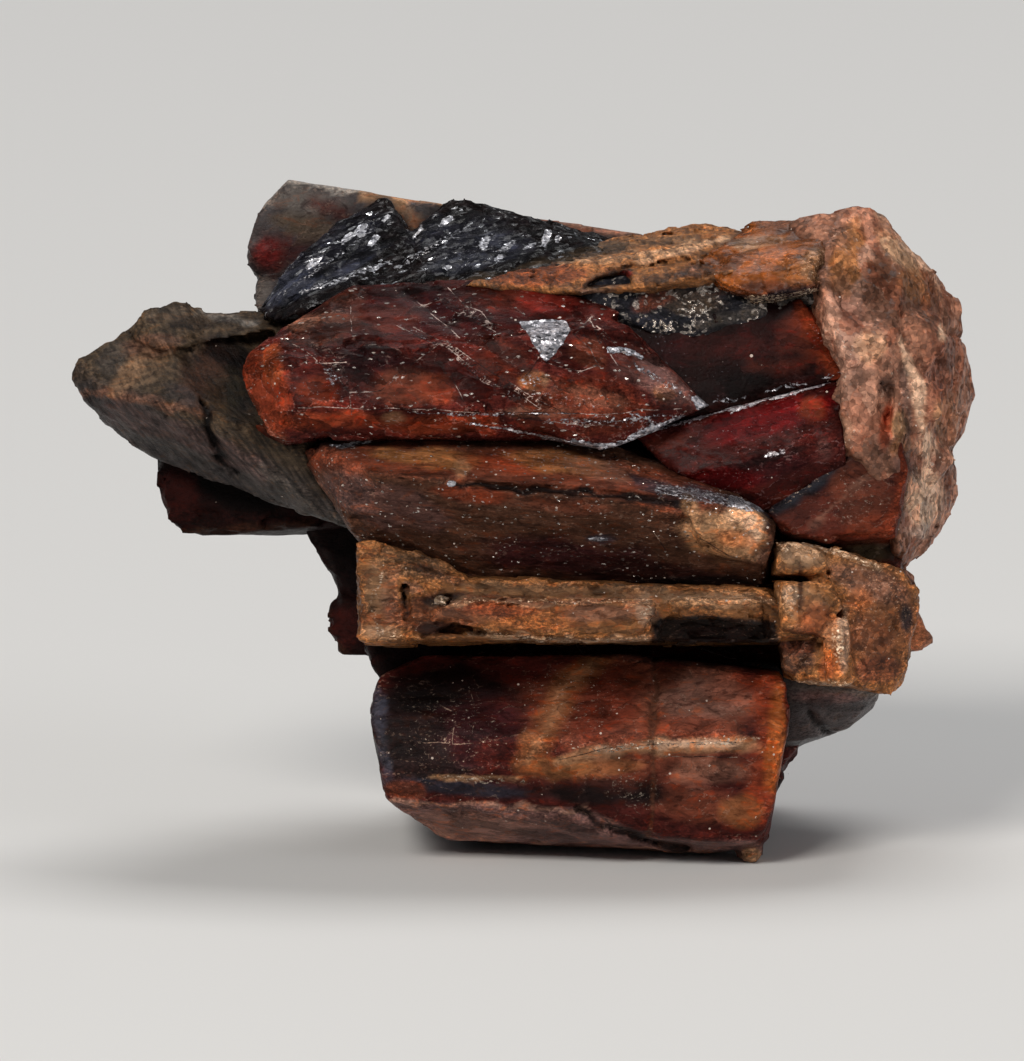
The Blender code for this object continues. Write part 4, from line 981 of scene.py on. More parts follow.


# The pieces

# For each piece: its crystals, the mesh's fineness in millimetres, its base colour and the gain on
# it, its relief, its marks, and its stone. A relief layer is its kind, its height in millimetres,
# how many times it repeats in a millimetre along, back and up, and how far it leans. The marks are
# drawn by the photograph's pixels, on the piece's front, or on its back if it is marked behind:
# grooves: the line, its width and its depth.
# strokes: the colour, its strength, and an oval (middle, half sizes, turn), a line with its width,
#   or a plate by its corners clockwise. Some strokes are painted shade, shadow, glow or highlight.
# flakes: bright marks, real flaking in some and painted glints in others: a plate, an oval with its share
# covered, or a line or a plate with width and share.
# cracks: lines.
BLOCKY = [("swell", 0.06, (0.25, 0.5, 0.5)), ("laths", 0.05, (0.0, 0.9, 1.3)),
          ("facets", 0.05, (0.5, 1.4, 1.4)), ("rough", 0.02, (1.5, 2.5, 2.5)),
          ("chips", 0.45, (0.9, 1.5, 1.5))]
SMOOTH = [("swell", 0.04, (0.2, 0.4, 0.4)), ("laths", 0.03, (0.0, 0.8, 1.0)),
          ("rough", 0.012, (1.2, 2.2, 2.2)), ("chips", 0.3, (0.9, 1.4, 1.4))]
SPLINTERY = [("laths", 0.2, (0.12, 1.2, 1.8)), ("facets", 0.13, (0.6, 1.6, 1.6)),
             ("rough", 0.02, (1.0, 3.0, 3.0)), ("chips", 0.4, (1.0, 1.8, 1.8))]
GRANULAR = [("facets", 0.15, (0.45, 0.45, 0.3)), ("facets", 0.07, (1.1, 1.1, 0.8)),
            ("rough", 0.012, (2.2, 2.2, 2.2)), ("chips", 0.1, (1.3, 1.3, 1.3))]

PIECES = {
    "left_prism": dict(
        members=["left_prism", "left_knob"], voxel=0.15, base="olive", gain=0.58,
        layers=[("swell", 0.08, (0.3, 0.5, 0.5)), ("facets", 0.08, (0.5, 1.2, 1.2), -35),
            ("laths", 0.06, (0.9, 0.5, 1.2)), ("rough", 0.025, (1.5, 2.5, 2.5)),
            ("chips", 0.3, (1.2, 1.5, 1.5))],
        grooves=[([203, 405, 211, 430, 219, 452, 236, 472], 4, 0.35)],
        strokes=[("slate", 0.95, [70, 400, 160, 440, 250, 480, 350, 540], 42),
            ("ash", 0.3, [130, 420, 220, 455, 300, 500, 345, 540], 26),
            ("mauve", 0.5, [110, 410, 200, 440, 260, 470], 16),
            ("clay", 0.7, [80, 394, 104, 394, 150, 402, 203, 410], 7), ("clay", 0.6, 150, 345, 34, 12, -8),
            ("tan", 0.6, 128, 372, 24, 10, -50), ("ash", 0.3, 165, 312, 24, 9, -5),
            # painted shade: the umber, soot and pitch at 212 to 243 across darken the recess beside the red
            # crystal
            ("ash", 0.5, 110, 360, 14, 20, 30), ("umber", 0.9, 212, 376, 36, 34, 40),
            ("soot", 0.8, 226, 350, 26, 16, 10), ("pitch", 0.85, 243, 386, 18, 42, 8),
            ("moss", 0.35, 222, 392, 22, 22), ("sand", 0.12, 142, 366, 36, 16, -30),
            ("soot", 0.6, 190, 322, 26, 8), ("pale", 0.8, [196, 311, 226, 318, 256, 320], 5),
            ("pitch", 0.95, [203, 405, 211, 430, 219, 452, 236, 472], 5),
            ("slate", 0.6, 180, 395, 20, 10, 30), ("ash", 0.5, [262, 470, 300, 500, 345, 535], 10),
            ("soot", 0.6, [255, 455, 290, 480, 330, 520], 3)],
        stone=dict(rough=0.42, shine=0.08, hatch=0.45, bump=0.035, grain=0.15, warm=(1.25, 1, 0.8),
            specks=0.08),
    ),
    "lower_left_block": dict(
        members=["lower_left_block"], voxel=0.18, base="oxblood", gain=0.45, layers=BLOCKY,
        strokes=[("pitch", 0.9, 240, 490, 60, 22, 10), ("garnet", 0.7, 178, 495, 22, 28),
            ("umber", 0.6, [165, 520, 185, 534, 235, 532, 310, 520], 6)],
        stone=dict(rough=0.4, shine=0.03, grain=0.12, specks=0.03),
    ),
    "rear_slab": dict(
        members=["rear_slab", "rear_slab_step"], voxel=0.17, base="slate", gain=0.85, layers=SMOOTH,
        strokes=[("ash", 0.8, 300, 200, 46, 13, 8), ("olive", 0.7, 300, 222, 34, 10, 10),
            ("garnet", 0.8, 330, 207, 26, 8, 20), ("garnet", 0.95, 269, 250, 21, 21),
            ("blood", 0.35, 266, 248, 14, 14), ("wine", 0.8, 300, 255, 18, 16, -30),
            ("soot", 0.6, 262, 272, 20, 5), ("ash", 0.6, 262, 296, 9, 18),
            ("pale", 0.8, [253, 205, 287, 177, 362, 190], 5),
            ("tan", 0.8, [362, 192, 420, 199, 520, 214], 6), ("tan", 0.7, 404, 212, 8, 24, -30),
            ("clay", 0.9, [500, 213, 590, 222, 660, 233], 10)],
        stone=dict(rough=0.3, shine=0.06, bump=0.01, grain=0.1, specks=0.02, mottle=(0.75, 1.3),
            domains=0.2, domain_scale=(0.4, 0.9, 0.9), seams=0.2, warm=(1.35, 0.95, 0.8)),
    ),
    "black_crystals": dict(
        members=["black_crystal_left", "black_crystal_right"], voxel=0.13, base="soot", gain=0.6,
        layers=[("swell", 0.08, (0.3, 0.6, 0.6)), ("facets", 0.15, (0.35, 1.1, 1.1), 38),
            ("facets", 0.06, (0.9, 2.6, 2.6), 42), ("rough", 0.01, (1.6, 3, 3)),
            ("chips", 0.16, (1.2, 1.6, 1.6))],
        strokes=[("ink", 0.8, 330, 250, 60, 30, -30), ("steel", 0.95, 290, 286, 28, 15, -30),
            ("steel", 0.7, 350, 262, 40, 8, -28), ("pitch", 0.7, 350, 258, 46, 6, -24),
            ("ink", 0.8, 470, 240, 60, 24, 5), ("steel", 0.6, 468, 262, 40, 9, -10),
            ("pitch", 0.6, 560, 245, 24, 9, 15), ("steel", 0.6, 498, 240, 16, 7, 20),
            ("olive", 0.8, [440, 284, 500, 276, 560, 258, 610, 246], 6)],
        # painted glints: these bright, partly metallic plates and ovals sit where the facets catch the
        # light
        flakes_and_glints=[[354, 232, 360, 222, 367, 223, 361, 236], [366, 244, 374, 232, 379, 235, 371, 247],
            [338, 241, 350, 231, 354, 234, 342, 244], [302, 268, 322, 253, 325, 256, 306, 271],
            [380, 219, 387, 212, 390, 214, 383, 222], [436, 224, 449, 213, 453, 216, 440, 227],
            [410, 236, 421, 224, 425, 227, 413, 239], [541, 245, 546, 228, 552, 228, 546, 247],
            (558, 238, 3, 5, 20, 0.6), (484, 243, 5, 8, 30, 0.55), (498, 258, 7, 4, -30, 0.8),
            (507, 246, 12, 4, -35, 0.5), (447, 267, 4, 2), (376, 268, 8, 2, -50), (530, 245, 8, 2, -30),
            ([275, 298, 310, 272, 350, 244, 372, 226], 5, 0.4), ([300, 292, 345, 276, 390, 262], 4, 0.45),
            ([396, 268, 440, 240, 470, 226], 5, 0.42), (480, 250, 60, 16, -20, 0.36)],
        stone=dict(rough=0.22, shine=0.1, bump=0.008, grain=0.2, facet=0.8, facet_scale=(0.8, 3.2, 3.2),
            facet_lean=40, sparkle=0.045, sparkle_scale=(1.2, 6.5, 6.5), glint_tone=(0.75, 0.76, 0.8),
            warm=(1, 1.1, 1.35), mottle=(0.4, 1.7), specks=0.06,
            flake_and_glint_tones=((0.1, 0.1, 0.12), (0.85, 0.85, 0.9))),
    ),
    "upper_lath": dict(
        members=["upper_lath", "upper_lath_ridge"], voxel=0.13, base="ochre",
        layers=[("swell", 0.06, (0.3, 0.6, 0.6)), ("laths", 0.12, (0.5, 1.2, 2)),
            ("facets", 0.1, (0.8, 2.2, 2.2), -12), ("rough", 0.03, (1.5, 3, 3)),
            ("chips", 0.35, (1.2, 1.6, 1.6))],
        strokes=[("ember", 0.6, 540, 276, 50, 12, -4), ("olive", 0.8, 590, 250, 46, 9, -10),
            ("olive", 0.6, 660, 240, 40, 5, -6), ("sand", 0.8, [640, 262, 690, 246, 744, 236], 6),
            ("tan", 0.7, [600, 262, 650, 256, 700, 240], 5), ("umber", 0.85, 604, 281, 27, 11, -18),
            ("pitch", 0.6, 598, 284, 18, 5, -18), ("soot", 0.7, [584, 286, 604, 276, 628, 270], 2.5),
            ("blood", 0.8, 626, 274, 6, 4), ("tan", 0.5, [590, 290, 610, 284, 630, 280], 2),
            ("blush", 0.6, 604, 298, 22, 6, 12), ("umber", 0.8, 700, 270, 34, 8, -8),
            ("tan", 0.5, 560, 246, 40, 8, -4), ("sand", 0.5, [560, 262, 610, 256, 660, 250], 3),
            ("soot", 0.7, 665, 277, 30, 6, -8), ("clay", 0.7, 694, 268, 5, 3, -30)],
        flakes_and_glints=[([560, 262, 600, 256, 650, 254, 700, 246], 9, 0.36), (610, 298, 26, 7, 12, 0.4)],
        stone=dict(rough=0.35, shine=0.2, bump=0.04, hatch=0.3, streak=0.15, streak_scale=(1.2, 6, 6),
            specks=0.3, warm=(1.2, 1, 0.8), facet=0.4, facet_scale=(2.2, 5, 5), facet_lean=-50,
            flake_and_glint_tones=((0.3, 0.2, 0.12), (0.75, 0.6, 0.46))),
    ),
    "amber_block": dict(
        members=["amber_block"], voxel=0.13, base="amber", gain=0.52,
        layers=[("swell", 0.1, (0.5, 0.6, 0.6)), ("facets", 0.12, (0.8, 1.2, 1.2), 20),
            ("rough", 0.03, (1.5, 2.5, 2.5)), ("chips", 0.35, (1.2, 1.6, 1.6))],
        strokes=[("rust", 0.7, 770, 290, 40, 12, -8), ("amber", 0.9, 770, 268, 40, 12),
            ("flame", 0.7, 782, 256, 20, 10, 20), ("clay", 0.6, 782, 226, 28, 8),
            ("sand", 0.7, 818, 264, 16, 16), ("tan", 0.6, 745, 245, 12, 8),
            ("sand", 0.5, 760, 240, 34, 6, -4), ("ochre", 0.5, 800, 270, 24, 14),
            ("ink", 0.95, [738, 303, 785, 299, 832, 291], 11)],
        flakes_and_glints=[([740, 303, 790, 298, 832, 290], 9, 0.44), (816, 268, 20, 18, 0, 0.37),
            (770, 262, 50, 24, 0, 0.33)],
        stone=dict(rough=0.2, shine=0.12, bump=0.01, grain=0.15, domains=0.35,
            domain_scale=(0.8, 1.6, 1.6), domain_lean=30, seams=0.4, streak=0.2, streak_scale=(1.5, 5, 5),
            warm=(1.2, 1, 0.75), mottle=(0.6, 1.5), specks=0.3,
            flake_and_glint_tones=((0.25, 0.16, 0.1), (0.85, 0.68, 0.5))),
    ),
    "black_hollow_wall": dict(
        members=["black_hollow_wall"], voxel=0.13, base="ink",
        layers=[("facets", 0.14, (1.4, 2, 2), 12), ("grains", 0.06, (3, 3.6, 3.6)),
            ("rough", 0.03, (1.8, 3, 3)), ("chips", 0.3, (1.5, 2, 2))],
        strokes=[("olive", 0.5, 690, 302, 40, 14, 5), ("rust", 0.8, 654, 300, 20, 10, -20),
            ("umber", 0.6, 720, 288, 20, 8), ("soot", 0.6, 700, 328, 50, 6),
            ("ash", 0.6, [700, 322, 735, 318, 790, 303, 834, 292], 9)],
        stone=dict(rough=0.4, shine=0.15, bump=0.06, sparkle=0.3, sparkle_scale=(5, 6, 6), specks=0.4,
            warm=(1.3, 1.15, 0.9), grain=0.5),
    ),
    "red_crystal": dict(
        members=["red_crystal", "red_crystal_crown", "red_crystal_heel", "red_crystal_front"],
        voxel=0.125, base="garnet", gain=0.82,
        layers=[("swell", 0.05, (0.25, 0.5, 0.5)), ("laths", 0.07, (0.12, 0.7, 0.9)),
            ("facets", 0.05, (0.45, 1.1, 1.1), -14), ("rough", 0.015, (1.2, 3, 3)),
            ("chips", 0.3, (1, 1.5, 1.5))],
        grooves=[([253, 438, 285, 450, 330, 438], 4, 0.25),
            ([405, 292, 440, 318, 500, 355, 560, 402], 7, 0.15)],
        # painted glow: the ember and flame strokes are partly the crystal's own orange and partly light
        # shining through it, most at the thin left end
        strokes=[("ember", 0.6, 262, 388, 27, 50, -8), ("flame", 0.12, 272, 366, 12, 20),
            ("rust", 0.8, [246, 395, 262, 425, 282, 442], 8), ("clay", 0.6, 302, 322, 18, 7, -15),
            ("umber", 0.7, 345, 305, 26, 14, -20), ("rust", 0.5, 385, 318, 34, 14),
            ("wine", 0.8, 430, 296, 34, 14, 5), ("brick", 0.7, 490, 300, 34, 12),
            ("brick", 0.8, 545, 296, 32, 12, 4), ("blood", 0.35, 548, 300, 30, 10, 4),
            ("oxblood", 0.9, 352, 350, 48, 12, 4), ("wine", 0.9, 372, 368, 46, 16, 8),
            ("rust", 0.8, 405, 388, 38, 18), ("ember", 0.6, 438, 390, 20, 14),
            ("ember", 0.5, 318, 392, 20, 16), ("brick", 0.8, 500, 360, 36, 22, 20),
            ("garnet", 0.7, 465, 345, 20, 14, 20),
            ("ember", 0.75, [280, 420, 340, 420, 410, 424, 490, 424], 13), ("tan", 0.5, 392, 418, 12, 6),
            ("tan", 0.6, 535, 382, 14, 10), ("flame", 0.5, 530, 380, 12, 9),
            ("clay", 0.45, 540, 412, 34, 6), ("brick", 0.8, 600, 390, 50, 14, 8),
            ("rust", 0.7, 590, 352, 20, 16, 20), ("rosewood", 0.8, 655, 380, 50, 20, 32),
            ("ochre", 0.35, 664, 392, 12, 8), ("mauve", 0.5, 660, 378, 40, 12, 35),
            ("ember", 0.5, 600, 400, 50, 10, 8), ("brick", 0.8, [520, 424, 580, 432, 640, 424], 8),
            ("soot", 0.6, [412, 292, 450, 325, 505, 352, 560, 400], 10),
            ("soot", 0.5, 335, 372, 14, 12, 30), ("oxblood", 0.7, 600, 300, 24, 8, 10),
            ("wine", 0.6, 420, 312, 90, 24, 4), ("umber", 0.4, 320, 330, 40, 14, -16),
            ("rust", 0.6, 580, 404, 60, 20, 6), ("clay", 0.3, 600, 398, 34, 10, 10)],
        flakes_and_glints=[[520, 322, 564, 320, 574, 336, 556, 352, 548, 364, 538, 352], ([606, 350, 628, 346, 664,
            372, 692, 395, 718, 411, 698, 418, 662, 402, 644, 384, 634, 369, 616, 358], 0, 0.43),
            [690, 396, 700, 395, 716, 412, 704, 415, 694, 405], ([608, 351, 628, 350, 640, 356], 4, 0.8),
            (530, 381, 15, 10, 0, 0.42), (570, 400, 50, 8, 10, 0.37), (620, 424, 70, 6, 0, 0.38),
            ([390, 411, 458, 414, 560, 414, 685, 416], 2.5, 0.46),
            ([545, 421, 600, 421, 650, 420], 4, 0.44),
            ([572, 442, 604, 448, 626, 442, 654, 428, 685, 419], 6, 0.55),
            ([472, 424, 526, 433, 572, 443], 3, 0.5), ([399, 327, 449, 350, 490, 382, 526, 402], 5, 0.38),
            ([435, 298, 465, 312, 494, 332], 7, 0.37), (330, 374, 12, 8, 40, 0.44),
            (335, 395, 60, 24, 0, 0.34), (275, 350, 20, 24, 0, 0.34), (450, 325, 60, 24, 30, 0.34)],
        cracks=[[290, 342, 312, 356, 332, 372, 350, 392, 352, 414], [395, 376, 418, 360, 440, 344],
            [440, 366, 452, 380, 462, 398], [415, 328, 450, 345, 490, 372, 530, 396, 575, 420],
            [435, 298, 451, 309, 479, 325, 494, 332], [449, 289, 465, 305, 481, 311, 494, 330],
            [399, 327, 424, 339, 449, 350, 472, 368, 490, 382, 513, 391, 526, 402],
            [413, 298, 435, 316, 458, 336], [458, 361, 485, 384, 517, 393, 540, 409],
            [420, 305, 445, 300, 470, 316], [470, 300, 476, 322, 500, 326], [590, 320, 608, 350, 617, 364],
            [548, 364, 580, 372, 598, 366], [574, 336, 590, 348, 600, 366], [540, 352, 530, 372, 520, 380],
            [300, 407, 390, 409, 480, 412, 600, 414, 680, 408], [520, 418, 560, 424, 620, 426],
            [595, 325, 620, 350, 655, 366], [350, 391, 380, 392, 400, 376], [318, 363, 345, 362],
            [350, 308, 352, 330], [575, 335, 590, 318, 600, 345]],
        stone=dict(rough=0.3, shine=0.03, bump=0.008, grain=0.12, domains=0.45,
            domain_scale=(0.5, 1.3, 1.3), domain_lean=-14, seams=0.12, crack_tone=(0.45, 0.34, 0.3),
            sparkle=0.02, sparkle_scale=(5, 11, 11), streak=0.12, warm=(1.5, 0.95, 0.75), mottle=(0.5, 1.6),
            specks=0.3, speck_scale=2),
    ),
    "dark_red_crystal": dict(
        members=["dark_red_crystal"], voxel=0.15, base="oxblood", gain=0.7, layers=SMOOTH,
        strokes=[("wine", 0.7, 655, 352, 30, 20), ("garnet", 0.6, 720, 340, 50, 16),
            ("pitch", 0.8, 738, 386, 34, 12, -6), ("brick", 0.8, 800, 328, 22, 20),
            ("ember", 0.85, [806, 306, 818, 335, 838, 372], 15), ("brick", 0.5, 780, 366, 30, 8)],
        cracks=[[645, 312, 668, 355], [600, 322, 640, 345]],
        flakes_and_glints=[(700, 360, 80, 34, 0, 0.32), (812, 340, 18, 30, 20, 0.35), (650, 330, 30, 20, 0, 0.35),
            ([700, 408, 740, 398, 795, 385, 842, 371], 4, 0.45)],
        stone=dict(rough=0.3, shine=0.03, bump=0.006, grain=0.1, domains=0.3, seams=0.15,
            crack_tone=(0.12, 0.05, 0.05), warm=(1.5, 0.85, 0.8), dark=(0.6, 0.5, 0.5), mottle=(0.7, 1.4),
            specks=0.4, speck_scale=1.6),
    ),
    "crimson_crystal": dict(
        members=["crimson_crystal"], voxel=0.15, base="garnet", gain=0.75, layers=SMOOTH,
        strokes=[("blood", 0.8, 770, 418, 70, 16, -16), ("blood", 0.9, 800, 410, 34, 14, -10),
            ("ember", 0.9, 812, 408, 15, 14), ("brick", 0.5, 668, 444, 34, 10, -14),
            ("wine", 0.8, 760, 470, 60, 12, -14), ("blood", 0.4, 720, 480, 34, 10),
            ("soot", 0.7, 780, 455, 40, 5, -16), ("brick", 0.8, 800, 500, 30, 14, -20),
            ("rosewood", 0.5, 824, 448, 8, 12)],
        cracks=[[640, 432, 700, 415, 740, 405, 795, 391, 842, 377]],
        # painted glints: the first two lines are a bright silvery strip along the top edge, partly painted
        # glints
        flakes_and_glints=[([640, 432, 660, 424, 697, 416], 9, 0.46),
            ([697, 416, 735, 406, 790, 392, 845, 376], 6, 0.6), (775, 454, 12, 3, -16, 0.5),
            (760, 430, 90, 30, -14, 0.33), (720, 480, 60, 30, -14, 0.32)],
        stone=dict(rough=0.3, shine=0.03, bump=0.006, grain=0.1, domains=0.3, domain_lean=14,
            seams=0.15, crack_tone=(0.4, 0.25, 0.25), warm=(1.5, 0.8, 0.8), mottle=(0.6, 1.5),
            dark=(0.5, 0.35, 0.4), specks=0.4, speck_scale=1.8,
            flake_and_glint_tones=((0.12, 0.08, 0.1), (1, 0.95, 1))),
    ),
    "lower_right_block": dict(
        members=["lower_right_block", "olive_step"], voxel=0.15, base="brick", gain=0.68, layers=BLOCKY,
        strokes=[("rust", 0.8, 860, 490, 30, 40), ("ink", 0.95, [850, 450, 815, 480, 775, 510], 10),
            ("ember", 0.8, [902, 452, 900, 500, 888, 538], 10), ("ember", 0.5, 870, 526, 26, 12),
            ("clay", 0.5, [885, 466, 850, 492, 812, 524], 3), ("rosewood", 0.5, 862, 452, 22, 9, -20),
            ("steel", 0.4, [845, 456, 815, 480, 785, 504], 5), ("olive", 0.95, 868, 553, 34, 11),
            ("moss", 0.4, 868, 553, 30, 8), ("soot", 0.6, 835, 552, 16, 8)],
        flakes_and_glints=[(850, 500, 50, 30, -20, 0.36), ([850, 452, 815, 480, 790, 500], 7, 0.38)],
        stone=dict(rough=0.34, shine=0.05, bump=0.015, grain=0.14, domains=0.25, domain_lean=20,
            seams=0.2, flake_and_glint_tones=((0.2, 0.12, 0.08), (0.7, 0.56, 0.46)), streak=0.12, specks=0.3,
            speck_scale=1.8),
    ),
    "middle_lath": dict(
        members=["middle_lath", "middle_lath_broken_end"], voxel=0.13, base="umber",
        layers=[("swell", 0.05, (0.2, 0.5, 0.5)), ("laths", 0.08, (0.08, 0.6, 1.1)),
            ("facets", 0.04, (0.5, 1.8, 1.8), -4), ("rough", 0.02, (1.2, 3, 3)),
            ("chips", 0.35, (1, 1.7, 1.7))],
        grooves=[([448, 481, 520, 488, 600, 492, 680, 500], 4, 0.22), ([470, 478, 455, 488], 4, 0.2)],
        strokes=[("rust", 0.95, [320, 455, 420, 458, 520, 466, 620, 480, 700, 496], 26),
            ("ochre", 0.8, 428, 458, 56, 10, 4), ("ember", 0.6, 500, 462, 36, 12, 6),
            ("ochre", 0.6, 560, 462, 44, 12, 8), ("clay", 0.5, 600, 470, 34, 9, 10),
            ("tan", 0.5, 462, 470, 8, 10), ("umber", 0.5, 475, 448, 30, 8),
            # painted shadow: the soot line under the red crystal's lower edge is the shadow it casts on the
            # lath
            ("soot", 0.85, [300, 447, 345, 446, 382, 437, 430, 433], 6),
            ("rosewood", 0.7, 390, 505, 62, 22, 16), ("mauve", 0.35, 350, 490, 30, 16, 40),
            ("ember", 0.6, 472, 494, 40, 8, 4), ("rust", 0.5, 560, 506, 50, 8, 4),
            ("wine", 0.9, 560, 556, 90, 20, 4), ("oxblood", 0.9, 640, 572, 80, 14, 3),
            ("umber", 0.6, 650, 528, 50, 10, 4), ("ink", 0.8, 600, 539, 18, 5),
            ("pitch", 0.95, [452, 483, 520, 489, 600, 493, 690, 504], 5),
            ("ink", 0.8, [636, 482, 690, 492, 735, 502, 764, 520], 10), ("tan", 0.9, 724, 535, 38, 22, 12),
            ("ochre", 0.4, 716, 545, 26, 10, 12), ("sand", 0.85, 745, 516, 22, 10, 15),
            ("cream", 0.4, 752, 530, 8, 16), ("flame", 0.5, 738, 540, 18, 8, 10),
            ("umber", 0.7, 706, 562, 30, 8, 10), ("tan", 0.7, 690, 506, 8, 12, -20),
            # painted shade: the soot along the lower edge darkens the crease above the ledge
            ("soot", 0.8, 700, 582, 60, 6)],
        cracks=[[655, 533, 664, 548], [640, 490, 700, 500], [700, 540, 730, 556]],
        flakes_and_glints=[(690, 494, 50, 9, 10, 0.46), (740, 504, 22, 7, 14, 0.5), (560, 462, 90, 14, 4, 0.36),
            (600, 539, 12, 3, 0, 0.5), (400, 456, 60, 10, 2, 0.36), (560, 540, 130, 26, 4, 0.33),
            ([330, 447, 345, 446, 382, 437], 4, 0.5), (452, 484, 5, 3)],
        stone=dict(rough=0.4, shine=0.05, streak=0.16, streak_scale=(0.4, 6, 6), sparkle=0.02,
            sparkle_scale=(9, 12, 12), warm=(1.4, 1, 0.75), specks=0.5, speck_scale=2, grain=0.25,
            bump=0.025, domains=0.25, domain_scale=(0.7, 2.2, 2.2), seams=0.2),
    ),
    "ledge": dict(
        members=["ledge_left_block", "ledge_shelf", "ledge_splinter", "ledge_right_splinter"],
        voxel=0.13, base="ochre", gain=0.57, layers=SPLINTERY,
        strokes=[("rust", 0.7, 420, 615, 60, 20), ("tan", 0.7, 376, 590, 12, 30),
            ("sand", 0.6, 384, 632, 22, 8), ("olive", 0.6, 410, 562, 46, 12, 14),
            ("umber", 0.7, 440, 575, 30, 6, 20), ("flame", 0.4, 540, 614, 110, 14),
            ("clay", 0.4, 470, 614, 40, 10), ("ember", 0.6, 500, 608, 40, 10),
            ("clay", 0.7, 600, 612, 36, 10), ("sand", 0.8, [470, 634, 560, 641, 648, 640], 4),
            ("sand", 0.6, [432, 604, 480, 600, 560, 602, 640, 600], 4), ("cream", 0.5, 645, 608, 9, 18),
            ("ash", 0.5, 655, 620, 6, 12), ("tan", 0.5, [470, 590, 560, 592, 660, 592], 9),
            ("olive", 0.5, [480, 584, 560, 586, 660, 587], 5),
            ("rust", 0.6, [450, 598, 560, 600, 640, 600], 3), ("tan", 0.8, 712, 600, 50, 8, 2),
            ("sand", 0.4, [664, 598, 720, 597, 770, 600], 5),
            # painted shade: the pitch plate and the oxblood at 712 darken the recess under the right
            # splinter, the oxblood at 432 is a shadow under the left, and the soot at 440 and the pitch
            # line at 403 darken the hole and the groove
            ("pitch", 0.96, [662, 614, 700, 616, 776, 613, 780, 650, 650, 650, 653, 626]),
            ("oxblood", 0.6, 712, 634, 40, 8), ("clay", 0.5, 390, 600, 10, 30),
            ("oxblood", 0.85, 432, 628, 26, 7, -4), ("soot", 0.8, 440, 600, 18, 6, -8),
            ("pitch", 0.8, [403, 585, 404, 615], 5), ("clay", 0.6, 412, 588, 12, 6, 10)],
        flakes_and_glints=[(442, 600, 7, 4), ([470, 634, 560, 641, 648, 640], 5, 0.42),
            ([432, 604, 480, 600, 560, 602, 640, 600], 4, 0.4),
            ([384, 570, 372, 600, 376, 632, 400, 636], 6, 0.4), (646, 612, 10, 16, 0, 0.42),
            ([664, 596, 720, 596, 770, 600], 6, 0.38)],
        stone=dict(rough=0.42, bump=0.03, streak=0.12, streak_scale=(0.9, 6, 6), warm=(1.3, 0.95, 0.75),
            dark=(0.72, 0.6, 0.52), mottle=(0.75, 1.35), grain=0.2, specks=0.5, speck_scale=2, facet=0.4,
            facet_scale=(1.2, 3.5, 3.5), edge_wear_and_highlight=1, domains=0.2, domain_scale=(0.8, 2, 2), seams=0.2,
            flake_and_glint_tones=((0.3, 0.2, 0.12), (0.8, 0.62, 0.48))),
    ),
    "steps": dict(
        members=["tan_block", "facet_block", "bright_block", "step_block", "dark_recess_wall"],
        voxel=0.13, base="ochre", gain=0.76,
        layers=[("facets", 0.12, (0.8, 0.9, 0.9), 20), ("facets", 0.07, (1.8, 2, 2)),
            ("rough", 0.02, (1.8, 2.6, 2.6)), ("chips", 0.2, (1.4, 1.7, 1.7))],
        grooves=[([776, 579, 800, 581, 822, 582], 3, 0.3)],
        strokes=[("rust", 0.45, 880, 620, 40, 50), ("clay", 0.8, 870, 585, 40, 16, 20),
            ("tan", 1, 800, 556, 26, 12, 8), ("sand", 0.4, 800, 552, 26, 10, 8),
            ("olive", 0.3, 806, 562, 14, 6), ("tan", 0.8, 800, 605, 24, 26),
            ("flame", 0.4, 806, 612, 18, 18), ("cream", 0.6, 792, 596, 12, 10, 20),
            ("ember", 0.5, 815, 620, 16, 18), ("flame", 0.9, 834, 650, 13, 30),
            ("cream", 0.7, 843, 640, 6, 32), ("sand", 0.4, 832, 636, 10, 14),
            ("ember", 0.5, 826, 668, 8, 14), ("rust", 0.4, 870, 640, 22, 26),
            ("flame", 0.5, 860, 600, 14, 12), ("ink", 0.85, 906, 618, 6, 14),
            ("rust", 0.7, 880, 670, 26, 12), ("umber", 0.95, 790, 655, 30, 20),
            ("umber", 0.9, 800, 590, 3, 30), ("sand", 0.7, [778, 540, 812, 545, 850, 556, 880, 568], 5),
            ("tan", 0.7, [786, 680, 815, 684, 850, 684], 4), ("rust", 0.5, 800, 640, 20, 14)],
        flakes_and_glints=[(870, 600, 50, 60, 0, 0.35), (800, 552, 30, 8, 8, 0.4), (792, 600, 14, 20, 0, 0.38),
            (838, 645, 8, 34, 0, 0.42), ([786, 680, 815, 684, 850, 684], 4, 0.42),
            ([778, 540, 812, 545, 850, 556, 880, 568], 6, 0.42)],
        stone=dict(rough=0.4, shine=0.12, bump=0.02, warm=(1.2, 1, 0.8), dark=(0.7, 0.6, 0.52),
            grain=0.16, specks=0.6, speck_scale=2.2, edge_wear_and_highlight=1, domains=0.22, domain_scale=(1.3, 1.3, 1.3),
            seams=0.25, facet=0.35, facet_scale=(3.5, 4, 4), mottle=(0.65, 1.4),
            flake_and_glint_tones=((0.35, 0.22, 0.13), (0.85, 0.66, 0.5))),
    ),
    "right_shard": dict(
        members=["right_shard"], voxel=0.17, base="clay", layers=SMOOTH,
        strokes=[("flame", 0.5, 918, 635, 12, 16)],
        stone=dict(rough=0.35, specks=0.05, mottle=(0.8, 1.3)),
    ),
    "grey_rear_crystal": dict(
        members=["grey_rear_crystal"], voxel=0.17, base="slate", gain=1.4, layers=SMOOTH,
        grooves=[([808, 712, 816, 722, 828, 732], 4, 0.3)],
        strokes=[("mauve", 0.7, 830, 698, 40, 8), ("ash", 0.6, [790, 690, 840, 690, 878, 694], 5),
